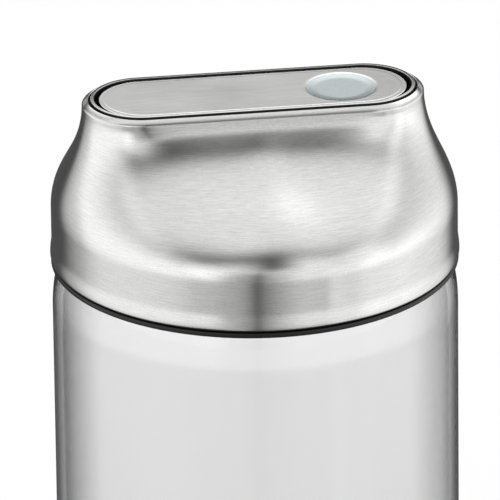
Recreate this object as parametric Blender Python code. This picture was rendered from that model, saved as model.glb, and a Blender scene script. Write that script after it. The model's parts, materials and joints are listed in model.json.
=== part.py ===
"""Food storage jar: a clear glass jar closed by a push-on lid with a rocking pour flap.

Units are metres, +Z is up, the origin is the centre of the jar's base, and the dimpled
press end of the flap points along +X.
"""

import math

import bmesh
import bpy
from mathutils import Matrix, Vector

# Clearances
GAP = 0.0003
OVERRUN = 0.0050
MERGE = 0.000001
SHARP_ANGLE = math.radians(35.0)

# Facets
TURN_STEPS = 48
ARC_STEPS = 12
SIDE_STEPS = 16
WALL_STEPS = 9
ROD_STEPS = 16
SCREW_STEPS = 12
CORNER_STEPS = 4
SHOULDER_STEPS = 6
LIP_STEPS = 2

# Glass jar
SEAT_Z = 0.1600
JAR_R = 0.0546
GLASS_WALL = 0.0024
GLASS_BASE = 0.0045
HEEL_R = 0.0080
FOOT_RING_WIDTH = 0.0066
PUNT_RAMP = 0.0020
PUNT_DEPTH = 0.0012
SHOULDER_HEIGHT = 0.0150
SHOULDER_STEP = 0.0046
NECK_HEIGHT = 0.0137
LIP_R = 0.0008

# Steel cover
SHEET = 0.0008
COVER_HEIGHT = 0.0460
TOP_HANDLE = 0.0153
SHOULDER_HANDLE = 0.0085
OPENING_END_INSET = 0.0104
OPENING_HALF_WIDTH = 0.0145
HEM_WIDTH = 0.0017
HEM_ROUND = 0.0015
HEM_EDGE_R = 0.0002
HEM_DEPTH = 0.0021
BEAD_PROUD = 0.0004
BEAD_HEIGHT = 0.0032
FOOT_ROUND = 0.0002
CURL_INSET = 0.0013

# Black lid core
RING_DROP = 0.0019
RING_PROUD = 0.0002
RING_CHAMFER = 0.0003
CORE_WALL = 0.0016
DECK_LIFT = 0.0003
DECK_THICKNESS = 0.0016
CORE_SHOULDER = 0.0031
PLUG_SPACE = 0.0020
PLUG_WALL = 0.0018
PLUG_FOOT_Z = 0.0018
GROOVE_DEPTH = 0.0007
GROOVE_BOTTOM = 0.0040
GROOVE_HEIGHT = 0.0070
RING_MOUTH = 0.0009

# Jar seal
SEAL_BODY = 0.0011
LIP_COUNT = 3
LIP_THICKNESS = 0.0008

# Trim ring and pour frame
TRIM_GAP = 0.0005
TRIM_WIDTH = 0.0010
TRIM_CHAMFER = 0.0002
TRIM_SLOPE = 0.0003
TRIM_RISE = 0.0005
TRIM_HEIGHT = 0.0024
FRAME_WALL = 0.0010
FLANGE_HEIGHT = 0.0015
FLANGE_OUT = 0.0008
LEFT_WALL_DEPTH = 0.0135
LEDGE_DROP = 0.0066
LEDGE_THICKNESS = 0.0015
WELL_LIFT = 0.0035
WELL_FLOOR = 0.0016
DIVIDER_THICKNESS = 0.0013
DUCT_END_INSET = 0.0045
DUCT_INNER_INSET = 0.0078
DUCT_SIDE_INSET = 0.0040
DUCT_WALL = 0.0015
RIM_WIDTH = 0.0010
RIM_RISE = 0.0009
FOOT_OUT = 0.0020
FOOT_THICKNESS = 0.0016
GASKET_THICKNESS = 0.0010
GASKET_WIDTH = 0.0028
BOSS_R = 0.0029
BOSS_BITE = 0.0007
BOSS_END_INSET = 0.0202
BOSS_TOP_DROP = 0.0125
BEARING_R = 0.0023
BEARING_OUT = 0.0009

# Screws
SCREW_R = 0.0011
SCREW_LENGTH = 0.0130
HEAD_R = 0.0024
HEAD_HEIGHT = 0.0014
HEAD_TOP_SHARE = 0.7
RECESS_R = 0.0009
RECESS_DEPTH = 0.0008
SPRING_SCREW_LENGTH = 0.0060
SPRING_SCREW_DROP = 0.0155
SPRING_BOSS_R = 0.0024

# Flap
FLAP_DROP = 0.0005
FLAP_END_GAP = 0.0013
FLAP_SIDE_GAP = 0.0004
FLAP_RIM_DEPTH = 0.0027
FLAP_EDGE_R = 0.0005
DIMPLE_SIDE_INSET = 0.0025
DIMPLE_DEPTH = 0.0013
DIMPLE_END_INSET = 0.0176
DIMPLE_RINGS = 4
PRESS_ARM = 0.0188
PIVOT_DROP = 0.0047
CARRIER_TOP = 0.0015
RIB_WIDTH = 0.0015
RIB_REACH = 0.0040
DIMPLE_HOLE_INSET = 0.0005
SEAL_LAP = 0.0006
SEAL_OUT = 0.0021
PIN_R = 0.0010
PIN_BITE = 0.0025
PIN_END_INSET = 0.0004
PIN_BOSS_R = 0.0024
PIN_BOSS_LENGTH = 0.0016
CAM_R = 0.0024
CAM_FLAT = 0.0002
CAM_HALF_WIDTH = 0.0030
FLAP_OPEN_ANGLE = math.radians(28.0)

# Detent spring
SPRING_THICKNESS = 0.0004
SPRING_HALF_WIDTH = 0.0025
SPRING_RISE = 0.0010
SPRING_TAIL = 0.0040

# Levels that follow from the sizes above
NECK_R = JAR_R - SHOULDER_STEP
MOUTH_R = NECK_R - GLASS_WALL
PUNT_R = JAR_R - HEEL_R - FOOT_RING_WIDTH - PUNT_RAMP
NECK_TOP_Z = SEAT_Z + NECK_HEIGHT
DECK_Z = NECK_TOP_Z + DECK_LIFT
DECK_TOP_Z = DECK_Z + DECK_THICKNESS
CREST_Z = SEAT_Z + COVER_HEIGHT
WALL_TOP_Z = CREST_Z - HEM_ROUND
HEM_FOOT_Z = CREST_Z - HEM_DEPTH
SKIRT_TOP_Z = DECK_Z
PLUG_R = MOUTH_R - PLUG_SPACE

# Stadium outlines, as half length and half width
OPENING = Vector((JAR_R - OPENING_END_INSET, OPENING_HALF_WIDTH))
TRIM_OUT = OPENING - Vector((TRIM_GAP, TRIM_GAP))
TRIM_IN = TRIM_OUT - Vector((TRIM_WIDTH, TRIM_WIDTH))
FRAME_IN = TRIM_OUT - Vector((FRAME_WALL, FRAME_WALL))
FLAP_OUT = TRIM_IN - Vector((FLAP_END_GAP, FLAP_SIDE_GAP))
CARRIER_OUT = FLAP_OUT - Vector((SHEET + GAP, SHEET + GAP))

# Places along the flap
TRIM_TOP_Z = CREST_Z + TRIM_RISE
TRIM_FOOT_Z = TRIM_TOP_Z - TRIM_HEIGHT
FRAME_TOP_Z = TRIM_FOOT_Z - GAP
FLAP_TOP_Z = TRIM_TOP_Z - FLAP_DROP
PIVOT_Z = FLAP_TOP_Z - PIVOT_DROP
DIMPLE_X = FLAP_OUT.x - DIMPLE_END_INSET
DIMPLE_R = FLAP_OUT.y - DIMPLE_SIDE_INSET
PIVOT_X = DIMPLE_X - PRESS_ARM
CARRIER_TOP_Z = FLAP_TOP_Z - SHEET - GAP
CARRIER_Z = CARRIER_TOP_Z - CARRIER_TOP
LEDGE_Z = CREST_Z - LEDGE_DROP
RIM_Z = LEDGE_Z + RIM_RISE
FLAP_SEAL_Z = RIM_Z + GAP
SPRING_X = PIVOT_X - CAM_R + CAM_FLAT - GAP - SPRING_THICKNESS
SPRING_SCREW_Z = FLAP_TOP_Z - SPRING_SCREW_DROP
DIVIDER_X = SPRING_X - GAP
WELL_Z = DECK_TOP_Z + WELL_LIFT
DUCT_LEFT_X = DUCT_END_INSET - FRAME_IN.x
DUCT_RIGHT_X = DIVIDER_X - DUCT_INNER_INSET
DUCT_X = (DUCT_LEFT_X + DUCT_RIGHT_X) / 2
DUCT = Vector(((DUCT_RIGHT_X - DUCT_LEFT_X) / 2, FRAME_IN.y - DUCT_SIDE_INSET))
SEAL_IN = DUCT - Vector((SEAL_LAP, SEAL_LAP))
BOSS_Y = TRIM_OUT.y + BOSS_R - BOSS_BITE
BOSS_X = TRIM_OUT.x - BOSS_END_INSET
GASKET_Z = DECK_TOP_Z + GAP
FOOT_Z = GASKET_Z + GASKET_THICKNESS + GAP


def clear_scene():
    """Removes every object of the startup scene."""
    for obj in list(bpy.data.objects):
        bpy.data.objects.remove(obj, do_unlink=True)


def material(name, colour, roughness, metallic, alpha=1.0):
    """Returns a plain material with the piece's colour and finish."""
    made = bpy.data.materials.new(name)
    made.use_nodes = True
    shader = made.node_tree.nodes["Principled BSDF"]
    shader.inputs["Base Color"].default_value = (*colour, 1.0)
    shader.inputs["Roughness"].default_value = roughness
    shader.inputs["Metallic"].default_value = metallic
    shader.inputs["Alpha"].default_value = alpha
    made.diffuse_color = (*colour, alpha)
    return made


def stadium(half, steps=ARC_STEPS, centre_x=0.0):
    """Returns the points of a stadium outline, anticlockwise from its right end's lower corner."""
    radius = half.y
    reach = half.x - half.y
    points = []
    for side, start in ((1, -math.pi / 2), (-1, math.pi / 2)):
        for step in range(steps + 1):
            angle = start + math.pi * step / steps
            x = side * reach + radius * math.cos(angle)
            points.append(Vector((centre_x + x, radius * math.sin(angle))))
    return points


def half_stadium(left_x, half, steps=ARC_STEPS):
    """Returns an outline that is square at left_x and round at its right end."""
    reach = half.x - half.y
    points = [Vector((left_x, half.y)), Vector((left_x, -half.y))]
    for step in range(steps + 1):
        angle = -math.pi / 2 + math.pi * step / steps
        x = reach + half.y * math.cos(angle)
        points.append(Vector((x, half.y * math.sin(angle))))
    return points


def mirrored_x(outline):
    """Returns an outline turned end for end, still anticlockwise."""
    return [Vector((-point.x, point.y)) for point in reversed(outline)]


def rectangle(low_x, high_x, half_width):
    """Returns a rectangular outline centred on the X axis."""
    return [
        Vector((low_x, -half_width)),
        Vector((high_x, -half_width)),
        Vector((high_x, half_width)),
        Vector((low_x, half_width)),
    ]


def arc(centre, radius, start, end, steps=CORNER_STEPS):
    """Returns the points of an arc in the section plane, angles in degrees."""
    points = []
    for step in range(steps + 1):
        angle = math.radians(start + (end - start) * step / steps)
        place = (centre[0] + radius * math.cos(angle), centre[1] + radius * math.sin(angle))
        points.append(Vector(place))
    return points


def add_object(name, mesh_builder, finish, parent=None):
    """Makes a named object from a bmesh, shaded smooth with its edges kept sharp."""
    bmesh.ops.remove_doubles(mesh_builder, verts=mesh_builder.verts, dist=MERGE)
    bmesh.ops.recalc_face_normals(mesh_builder, faces=mesh_builder.faces)
    mesh = bpy.data.meshes.new(name)
    mesh_builder.to_mesh(mesh)
    mesh_builder.free()
    mesh.shade_smooth()
    mesh.set_sharp_from_angle(angle=SHARP_ANGLE)
    mesh.materials.append(finish)
    obj = bpy.data.objects.new(name, mesh)
    bpy.context.collection.objects.link(obj)
    if parent:
        obj.parent = parent
        obj.matrix_parent_inverse = parent.matrix_world.inverted()
    return obj


def loft(rings, closed):
    """Returns a bmesh skinned over rings of equal length, closed on itself or capped."""
    builder = bmesh.new()
    loops = [[builder.verts.new(point) for point in ring] for ring in rings]
    pairs = list(zip(loops, loops[1:]))
    if closed:
        pairs.append((loops[-1], loops[0]))
    else:
        builder.faces.new(loops[0])
        builder.faces.new(loops[-1])
    for lower, upper in pairs:
        for index, corner in enumerate(lower):
            after = (index + 1) % len(lower)
            builder.faces.new((corner, lower[after], upper[after], upper[index]))
    return builder


def turned(profile):
    """Returns a bmesh turned about the Z axis from a closed profile of radius and height."""
    builder = bmesh.new()
    corners = [builder.verts.new((point[0], 0.0, point[1])) for point in profile]
    edges = [builder.edges.new((corners[i - 1], corners[i])) for i in range(len(corners))]
    bmesh.ops.spin(
        builder,
        geom=corners + edges,
        axis=(0, 0, 1),
        cent=(0, 0, 0),
        angle=2 * math.pi,
        steps=TURN_STEPS,
        use_merge=True,
    )
    bmesh.ops.remove_doubles(builder, verts=builder.verts, dist=MERGE)
    on_axis = [edge for edge in builder.edges if all(v.co.xy.length < MERGE for v in edge.verts)]
    bmesh.ops.delete(builder, geom=on_axis, context="EDGES")
    return builder


def prism(outline, low_z, high_z):
    """Returns a bmesh of an outline extruded between two heights."""
    rings = [[(point.x, point.y, z) for point in outline] for z in (low_z, high_z)]
    return loft(rings, closed=False)


def band(outer, inner, low_z, high_z):
    """Returns a bmesh of a ring between two outlines of equal point count."""
    rings = [
        [(p.x, p.y, low_z) for p in outer],
        [(p.x, p.y, high_z) for p in outer],
        [(p.x, p.y, high_z) for p in inner],
        [(p.x, p.y, low_z) for p in inner],
    ]
    return loft(rings, closed=True)


def rod(builder, radius, start, end):
    """Adds a capped cylinder from start to end to a bmesh."""
    start = Vector(start)
    end = Vector(end)
    turn = (end - start).to_track_quat("Z", "Y").to_matrix().to_4x4()
    place = Matrix.Translation((start + end) / 2) @ turn
    bmesh.ops.create_cone(
        builder,
        cap_ends=True,
        segments=ROD_STEPS,
        radius1=radius,
        radius2=radius,
        depth=(end - start).length,
        matrix=place,
    )
    return builder


def rods(radius, spans):
    """Returns a bmesh of several cylinders of one radius."""
    builder = bmesh.new()
    for start, end in spans:
        rod(builder, radius, start, end)
    return builder


def boolean(target, name, builder, operation, finish):
    """Unites a helper shape with the target, or cuts it away."""
    helper = add_object(name, builder, finish)
    helper.hide_render = True
    helper.display_type = "WIRE"
    modifier = target.modifiers.new(name, "BOOLEAN")
    modifier.operation = operation
    modifier.solver = "EXACT"
    modifier.object = helper
    return helper


def shoulder_points(radius, height, top_z):
    """Returns the quarter ellipse from the jar's wall up to its neck."""
    points = []
    for step in range(SHOULDER_STEPS + 1):
        angle = math.pi / 2 * step / SHOULDER_STEPS
        x = NECK_R - (JAR_R - radius) + SHOULDER_STEP * math.cos(angle)
        points.append((x, top_z - height + height * math.sin(angle)))
    return points


def build_jar(finish):
    """The glass jar: heel, wall, rounded shoulder and neck, hollow from its base up."""
    inner_r = JAR_R - GLASS_WALL
    heel_in_r = HEEL_R - GLASS_WALL
    outside = [(0.0, PUNT_DEPTH), (PUNT_R, PUNT_DEPTH), (PUNT_R + PUNT_RAMP, 0.0)]
    outside += arc((JAR_R - HEEL_R, HEEL_R), HEEL_R, -90, 0)
    outside += shoulder_points(JAR_R, SHOULDER_HEIGHT, SEAT_Z)
    outside += arc((NECK_R - LIP_R, NECK_TOP_Z - LIP_R), LIP_R, 0, 90, LIP_STEPS)
    outside += arc((MOUTH_R + LIP_R, NECK_TOP_Z - LIP_R), LIP_R, 90, 180, LIP_STEPS)
    inside = list(reversed(shoulder_points(inner_r, SHOULDER_HEIGHT, SEAT_Z)))
    inside += arc((inner_r - heel_in_r, GLASS_BASE + heel_in_r), heel_in_r, 0, -90)
    inside.append((0.0, GLASS_BASE))
    return add_object("jar_glass", turned(outside + inside), finish)


def cover_angles():
    """Returns the polar angles of the cover's lines, even on the sides and round the ends."""
    half = OPENING + Vector((HEM_WIDTH, HEM_WIDTH))
    reach = half.x - half.y
    corner = math.atan2(half.y, reach)
    angles = []
    for side, base in ((1, 0.0), (-1, math.pi)):
        for step in range(ARC_STEPS):
            turn = -math.pi / 2 + math.pi * step / ARC_STEPS
            end = (half.y * math.sin(turn), reach + half.y * math.cos(turn))
            angles.append(base + math.atan2(*end))
        for step in range(SIDE_STEPS):
            angles.append(base + corner + (math.pi - 2 * corner) * step / SIDE_STEPS)
    return angles


def stadium_reach(half, angle):
    """Returns how far a stadium outline lies from its centre in one direction."""
    reach = half.x - half.y
    c = abs(math.cos(angle))
    s = abs(math.sin(angle))
    if half.y * c <= reach * s:
        return half.y / s
    return reach * c + math.sqrt(max(half.y ** 2 - (reach * s) ** 2, 0.0))


def polar_ring(angles, reach_of, z):
    """Returns a ring of points at height z, its reach given for each angle."""
    return [Vector((reach_of(a) * math.cos(a), reach_of(a) * math.sin(a), z)) for a in angles]


def cover_wall_ring(angles, share):
    """Returns the ring of the cover's side, from the opening at 0 to the skirt at 1."""
    half = OPENING + Vector((HEM_WIDTH, HEM_WIDTH))
    blend = share * share * (3 - 2 * share)
    section = half.lerp(Vector((JAR_R, JAR_R)), blend)
    rest = 1 - share
    z = (
        rest ** 3 * WALL_TOP_Z
        + 3 * rest ** 2 * share * (WALL_TOP_Z - TOP_HANDLE)
        + 3 * rest * share ** 2 * (SKIRT_TOP_Z + SHOULDER_HANDLE)
        + share ** 3 * SKIRT_TOP_Z
    )
    return polar_ring(angles, lambda a: stadium_reach(section, a), z)


def cover_reach_within(z):
    """Returns the least reach of the cover's inner side at a height, along its facets."""
    places = [cover_wall_ring([math.pi / 2], 1 - step / WALL_STEPS)[0] for step in range(WALL_STEPS + 1)]
    for lower, upper in zip(places, places[1:]):
        if lower.z <= z <= upper.z:
            place = lower.lerp(upper, (z - lower.z) / (upper.z - lower.z))
            return place.y - SHEET / (upper - lower).normalized().z
    return stadium_reach(OPENING, math.pi / 2)


def sheet_inside(rings, skip_below, skip_above):
    """Returns the rings moved inwards by the sheet's thickness, square to the surface."""
    inner = []
    for index in range(skip_below, len(rings) - skip_above):
        ring = []
        for place, point in enumerate(rings[index]):
            along = rings[index + 1][place] - rings[index - 1][place]
            around = rings[index][(place + 1) % len(rings[index])] - rings[index][place - 1]
            normal = around.cross(along).normalized()
            ring.append(point - normal * SHEET)
        inner.append(ring)
    return inner


def build_cover(finish):
    """The steel cover: skirt with a beaded foot, shoulder, side that turns oval, and hemmed opening."""
    angles = cover_angles()
    bead_r = JAR_R + BEAD_PROUD

    def circle(radius, z):
        return polar_ring(angles, lambda a: radius, z)

    foot = [circle(bead_r - SHEET, SEAT_Z)]
    foot.append(circle(bead_r - FOOT_ROUND, SEAT_Z + FOOT_ROUND))
    foot.append(circle(bead_r, SEAT_Z + SHEET))
    foot.append(circle(bead_r - BEAD_PROUD / 4, SEAT_Z + BEAD_HEIGHT / 2))
    foot.append(circle(JAR_R, SEAT_Z + BEAD_HEIGHT))
    foot.append(circle(JAR_R, (SEAT_Z + BEAD_HEIGHT + SKIRT_TOP_Z) / 2))
    wall = [cover_wall_ring(angles, 1 - step / WALL_STEPS) for step in range(WALL_STEPS + 1)]
    outside = foot + wall
    hem = []
    for step in range(1, CORNER_STEPS + 1):
        turn = math.pi / 2 * step / CORNER_STEPS
        out = HEM_EDGE_R + (HEM_WIDTH - HEM_EDGE_R) * math.cos(turn)
        half = OPENING + Vector((out, out))
        rise = HEM_ROUND * math.sin(turn)
        hem.append(polar_ring(angles, lambda a, h=half: stadium_reach(h, a), WALL_TOP_Z + rise))
    for z in (CREST_Z - HEM_EDGE_R, HEM_FOOT_Z):
        hem.append(polar_ring(angles, lambda a: stadium_reach(OPENING, a), z))
    fold = OPENING + Vector((HEM_WIDTH - SHEET, HEM_WIDTH - SHEET))
    hem.append(polar_ring(angles, lambda a: stadium_reach(fold, a), HEM_FOOT_Z))
    inside = list(reversed(sheet_inside(outside, 4, 2)))
    curl_r = JAR_R - CURL_INSET
    curl = [circle(JAR_R - SHEET, SEAT_Z + SHEET)]
    curl += [circle(curl_r, SEAT_Z + SHEET), circle(curl_r, SEAT_Z)]
    return add_object("lid_cover", loft(outside + hem + inside + curl, closed=True), finish)


def build_core(finish):
    """The black core: visible foot ring, band behind the skirt, deck, and plug for the jar's mouth."""
    outer_r = JAR_R - SHEET - GAP
    band_in_r = outer_r - CORE_WALL
    ring_r = JAR_R + RING_PROUD
    foot_z = SEAT_Z - RING_DROP
    ring_top_z = SEAT_Z - GAP
    groove_r = PLUG_R - GROOVE_DEPTH
    groove_z = SEAT_Z + GROOVE_BOTTOM
    groove_top_z = groove_z + GROOVE_HEIGHT
    curl_top_z = SEAT_Z + SHEET + GAP
    curl_r = JAR_R - CURL_INSET - GAP
    profile = [
        (0.0, DECK_Z),
        (PLUG_R - PLUG_WALL, DECK_Z),
        (PLUG_R - PLUG_WALL, SEAT_Z + PLUG_FOOT_Z),
        (PLUG_R, SEAT_Z + PLUG_FOOT_Z),
        (PLUG_R, groove_z),
        (groove_r, groove_z),
        (groove_r, groove_top_z),
        (PLUG_R, groove_top_z),
        (PLUG_R, DECK_Z),
        (band_in_r, DECK_Z),
        (band_in_r, SEAT_Z + SHEET),
        (band_in_r + RING_MOUTH, foot_z),
        (ring_r - RING_CHAMFER, foot_z),
        (ring_r, foot_z + RING_CHAMFER),
        (ring_r, ring_top_z - RING_CHAMFER),
        (ring_r - RING_CHAMFER, ring_top_z),
        (curl_r, ring_top_z),
        (curl_r, curl_top_z),
        (outer_r, curl_top_z + GAP),
        (outer_r, DECK_TOP_Z - CORE_SHOULDER),
        (cover_reach_within(DECK_TOP_Z) - GAP, DECK_TOP_Z),
        (0.0, DECK_TOP_Z),
    ]
    core = add_object("lid_core", turned(profile), finish)
    hole = stadium(DUCT + Vector((GAP, GAP)), centre_x=DUCT_X)
    low_z = DECK_Z - OVERRUN
    high_z = DECK_TOP_Z + OVERRUN
    boolean(core, "cut_core_duct", prism(hole, low_z, high_z), "DIFFERENCE", finish)
    spans = [((x, y, low_z), (x, y, high_z)) for x, y in boss_places()]
    boolean(core, "cut_core_screws", rods(SCREW_R + GAP, spans), "DIFFERENCE", finish)
    return core


def build_jar_seal(finish):
    """The silicone seal in the plug's groove, with lips that wipe the jar's mouth."""
    inner_r = PLUG_R - GROOVE_DEPTH + GAP
    body_r = inner_r + SEAL_BODY
    lip_r = MOUTH_R - GAP
    low_z = SEAT_Z + GROOVE_BOTTOM + GAP
    high_z = low_z + GROOVE_HEIGHT - 2 * GAP
    pitch = (high_z - low_z) / LIP_COUNT
    profile = [(inner_r, low_z), (body_r, low_z)]
    for lip in range(LIP_COUNT):
        middle = low_z + pitch * (lip + 0.5)
        half = LIP_THICKNESS / 2
        profile += [(body_r, middle - half), (lip_r, middle)]
        profile += [(lip_r, middle + half), (body_r, middle + LIP_THICKNESS)]
    profile += [(body_r, high_z), (inner_r, high_z)]
    return add_object("jar_seal", turned(profile), finish)


def boss_places():
    """Returns the centres of the four screw bosses."""
    return [(x, y) for x in (-BOSS_X, BOSS_X) for y in (-BOSS_Y, BOSS_Y)]


def build_trim(finish):
    """The bright ring between the cover's hem and the flap."""
    chamfer = Vector((TRIM_CHAMFER, TRIM_CHAMFER))
    levels = [
        (TRIM_OUT, TRIM_FOOT_Z),
        (TRIM_OUT, TRIM_TOP_Z - TRIM_SLOPE),
        (TRIM_IN + chamfer, TRIM_TOP_Z),
        (TRIM_IN, TRIM_TOP_Z - TRIM_CHAMFER),
        (TRIM_IN, TRIM_FOOT_Z),
    ]
    rings = [[(p.x, p.y, z) for p in stadium(half)] for half, z in levels]
    return add_object("trim_ring", loft(rings, closed=True), finish)


def build_frame(finish):
    """The black pour frame: collar wall, seal ledge, duct, press well, bosses and bearings."""
    frame = add_object("pour_frame", prism(stadium(TRIM_OUT), WELL_Z, FRAME_TOP_Z), finish)
    wall_foot_z = FRAME_TOP_Z - LEFT_WALL_DEPTH
    far = TRIM_OUT.x + OVERRUN

    def change(name, builder, operation):
        return boolean(frame, name, builder, operation, finish)

    under = rectangle(-far, DIVIDER_X - DIVIDER_THICKNESS, far)
    change("cut_frame_left", prism(under, WELL_Z - OVERRUN, wall_foot_z), "DIFFERENCE")
    inside = prism(stadium(FRAME_IN), WELL_Z + WELL_FLOOR, FRAME_TOP_Z + OVERRUN)
    cavity = change("cut_frame_cavity", inside, "DIFFERENCE")
    block = rectangle(-far, DIVIDER_X, far)
    ledge = prism(block, WELL_Z - OVERRUN, LEDGE_Z)
    boolean(cavity, "keep_frame_ledge", ledge, "DIFFERENCE", finish)
    hollow = mirrored_x(half_stadium(DIVIDER_THICKNESS * 2 - DIVIDER_X, FRAME_IN))
    hollow_top_z = LEDGE_Z - LEDGE_THICKNESS
    change("cut_frame_hollow", prism(hollow, wall_foot_z - OVERRUN, hollow_top_z), "DIFFERENCE")
    out = Vector((FLANGE_OUT, FLANGE_OUT))
    flange_z = HEM_FOOT_Z - GAP
    flange = prism(stadium(TRIM_OUT + out), flange_z - FLANGE_HEIGHT, flange_z)
    bore = prism(stadium((FRAME_IN + TRIM_OUT) / 2), flange_z - OVERRUN, flange_z + OVERRUN)
    ring = boolean(frame, "add_frame_flange", flange, "UNION", finish)
    boolean(ring, "open_frame_flange", bore, "DIFFERENCE", finish)
    wall = DUCT + Vector((DUCT_WALL, DUCT_WALL))
    middle_z = LEDGE_Z - LEDGE_THICKNESS / 2
    change("add_frame_duct", prism(stadium(wall, centre_x=DUCT_X), FOOT_Z + GAP, middle_z), "UNION")
    foot = stadium(wall + Vector((FOOT_OUT, FOOT_OUT)), centre_x=DUCT_X)
    change("add_frame_foot", prism(foot, FOOT_Z, FOOT_Z + FOOT_THICKNESS), "UNION")
    rim = DUCT + Vector((RIM_WIDTH, RIM_WIDTH))
    change("add_frame_rim", prism(stadium(rim, centre_x=DUCT_X), middle_z, RIM_Z), "UNION")
    duct = stadium(DUCT, centre_x=DUCT_X)
    change("cut_frame_bore", prism(duct, FOOT_Z - OVERRUN, RIM_Z + OVERRUN), "DIFFERENCE")
    boss_top_z = CREST_Z - BOSS_TOP_DROP
    bosses = [((x, y, GASKET_Z), (x, y, boss_top_z)) for x, y in boss_places()]
    change("add_frame_bosses", rods(BOSS_R, bosses), "UNION")
    in_y = TRIM_OUT.y - FRAME_WALL / 2
    out_y = TRIM_OUT.y + BEARING_OUT
    ears = []
    holes = []
    for side in (-1, 1):
        outer = (PIVOT_X, side * out_y, PIVOT_Z)
        ears.append(((PIVOT_X, side * in_y, PIVOT_Z), outer))
        start = (PIVOT_X, side * (FRAME_IN.y - GAP), PIVOT_Z)
        holes.append((start, (PIVOT_X, side * (out_y + GAP), PIVOT_Z)))
    change("add_frame_bearings", rods(BEARING_R, ears), "UNION")
    end_x = DUCT_X + DUCT.x + DUCT_WALL / 2
    pad_x = DIVIDER_X - DIVIDER_THICKNESS / 2
    pad = [((end_x, 0, SPRING_SCREW_Z), (pad_x, 0, SPRING_SCREW_Z))]
    change("add_frame_spring_boss", rods(SPRING_BOSS_R, pad), "UNION")
    pilot_z = DECK_Z + SCREW_LENGTH
    pilots = [((x, y, GASKET_Z - OVERRUN), (x, y, pilot_z)) for x, y in boss_places()]
    change("cut_frame_pilots", rods(SCREW_R + GAP, pilots), "DIFFERENCE")
    change("cut_frame_bearings", rods(PIN_R + GAP, holes), "DIFFERENCE")
    screw_x = SPRING_X + SPRING_THICKNESS - SPRING_SCREW_LENGTH
    pilot = [((screw_x, 0, SPRING_SCREW_Z), (SPRING_X, 0, SPRING_SCREW_Z))]
    change("cut_frame_spring_pilot", rods(SCREW_R + GAP, pilot), "DIFFERENCE")
    return frame


def build_gasket(finish):
    """The flat silicone gasket between the duct's foot and the core's deck."""
    inner = DUCT + Vector((GAP, GAP)) * 2
    outer = inner + Vector((GASKET_WIDTH, GASKET_WIDTH))
    rings = (stadium(outer, centre_x=DUCT_X), stadium(inner, centre_x=DUCT_X))
    return add_object("duct_gasket", band(*rings, GASKET_Z, GASKET_Z + GASKET_THICKNESS), finish)


def build_screw(name, head_place, direction, length, finish):
    """A pan head screw with a round recess, its head's underside at head_place."""
    profile = [
        (0.0, -length),
        (SCREW_R / 2, -length),
        (SCREW_R, SCREW_R - length),
        (SCREW_R, 0.0),
        (HEAD_R, 0.0),
        (HEAD_R, HEAD_HEIGHT / 2),
        (HEAD_R * HEAD_TOP_SHARE, HEAD_HEIGHT),
        (RECESS_R, HEAD_HEIGHT),
        (RECESS_R / 2, HEAD_HEIGHT - RECESS_DEPTH),
        (0.0, HEAD_HEIGHT - RECESS_DEPTH),
    ]
    builder = bmesh.new()
    corners = [builder.verts.new((x, 0.0, z)) for x, z in profile]
    edges = [builder.edges.new(pair) for pair in zip(corners, corners[1:])]
    bmesh.ops.spin(
        builder,
        geom=corners + edges,
        axis=(0, 0, 1),
        angle=2 * math.pi,
        steps=SCREW_STEPS,
        use_merge=True,
    )
    turn = (-Vector(direction)).to_track_quat("Z", "Y").to_matrix().to_4x4()
    bmesh.ops.transform(builder, matrix=Matrix.Translation(head_place) @ turn, verts=builder.verts)
    return add_object(name, builder, finish)


def build_screws(finish):
    """The four screws that hold the pour frame to the core, and the one that holds the spring."""
    made = []
    for number, (x, y) in enumerate(boss_places(), 1):
        place = (x, y, DECK_Z - GAP)
        name = f"frame_screw_{number}"
        made.append(build_screw(name, place, (0, 0, 1), SCREW_LENGTH, finish))
    place = (SPRING_X + SPRING_THICKNESS + GAP, 0, SPRING_SCREW_Z)
    length = SPRING_SCREW_LENGTH - GAP
    made.append(build_screw("spring_screw", place, (-1, 0, 0), length, finish))
    return made


def build_spring(finish):
    """The leaf spring that bears on the flap's cam and holds it open or shut."""
    outline = rectangle(SPRING_X, SPRING_X + SPRING_THICKNESS, SPRING_HALF_WIDTH)
    leaf = prism(outline, SPRING_SCREW_Z - SPRING_TAIL, PIVOT_Z + SPRING_RISE)
    spring = add_object("detent_spring", leaf, finish)
    span = [((SPRING_X - OVERRUN, 0, SPRING_SCREW_Z), (SPRING_X + OVERRUN, 0, SPRING_SCREW_Z))]
    boolean(spring, "cut_spring_hole", rods(SCREW_R + GAP, span), "DIFFERENCE", finish)
    return spring


def ray_ring(centre_x, outline, radius, z):
    """Returns points on a circle about centre_x, each facing its point of the outline."""
    ring = []
    for point in outline:
        direction = Vector((point.x - centre_x, point.y)).normalized()
        ring.append((centre_x + direction.x * radius, direction.y * radius, z))
    return ring


def flap_outline(half):
    """Returns a stadium outline with its straight sides divided, for the flap's plate."""
    corners = stadium(half)
    divisions = SIDE_STEPS // 2
    points = []
    for index, corner in enumerate(corners):
        points.append(corner)
        if index % (ARC_STEPS + 1) == ARC_STEPS:
            after = corners[(index + 1) % len(corners)]
            points += [corner.lerp(after, step / divisions) for step in range(1, divisions)]
    return points


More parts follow.
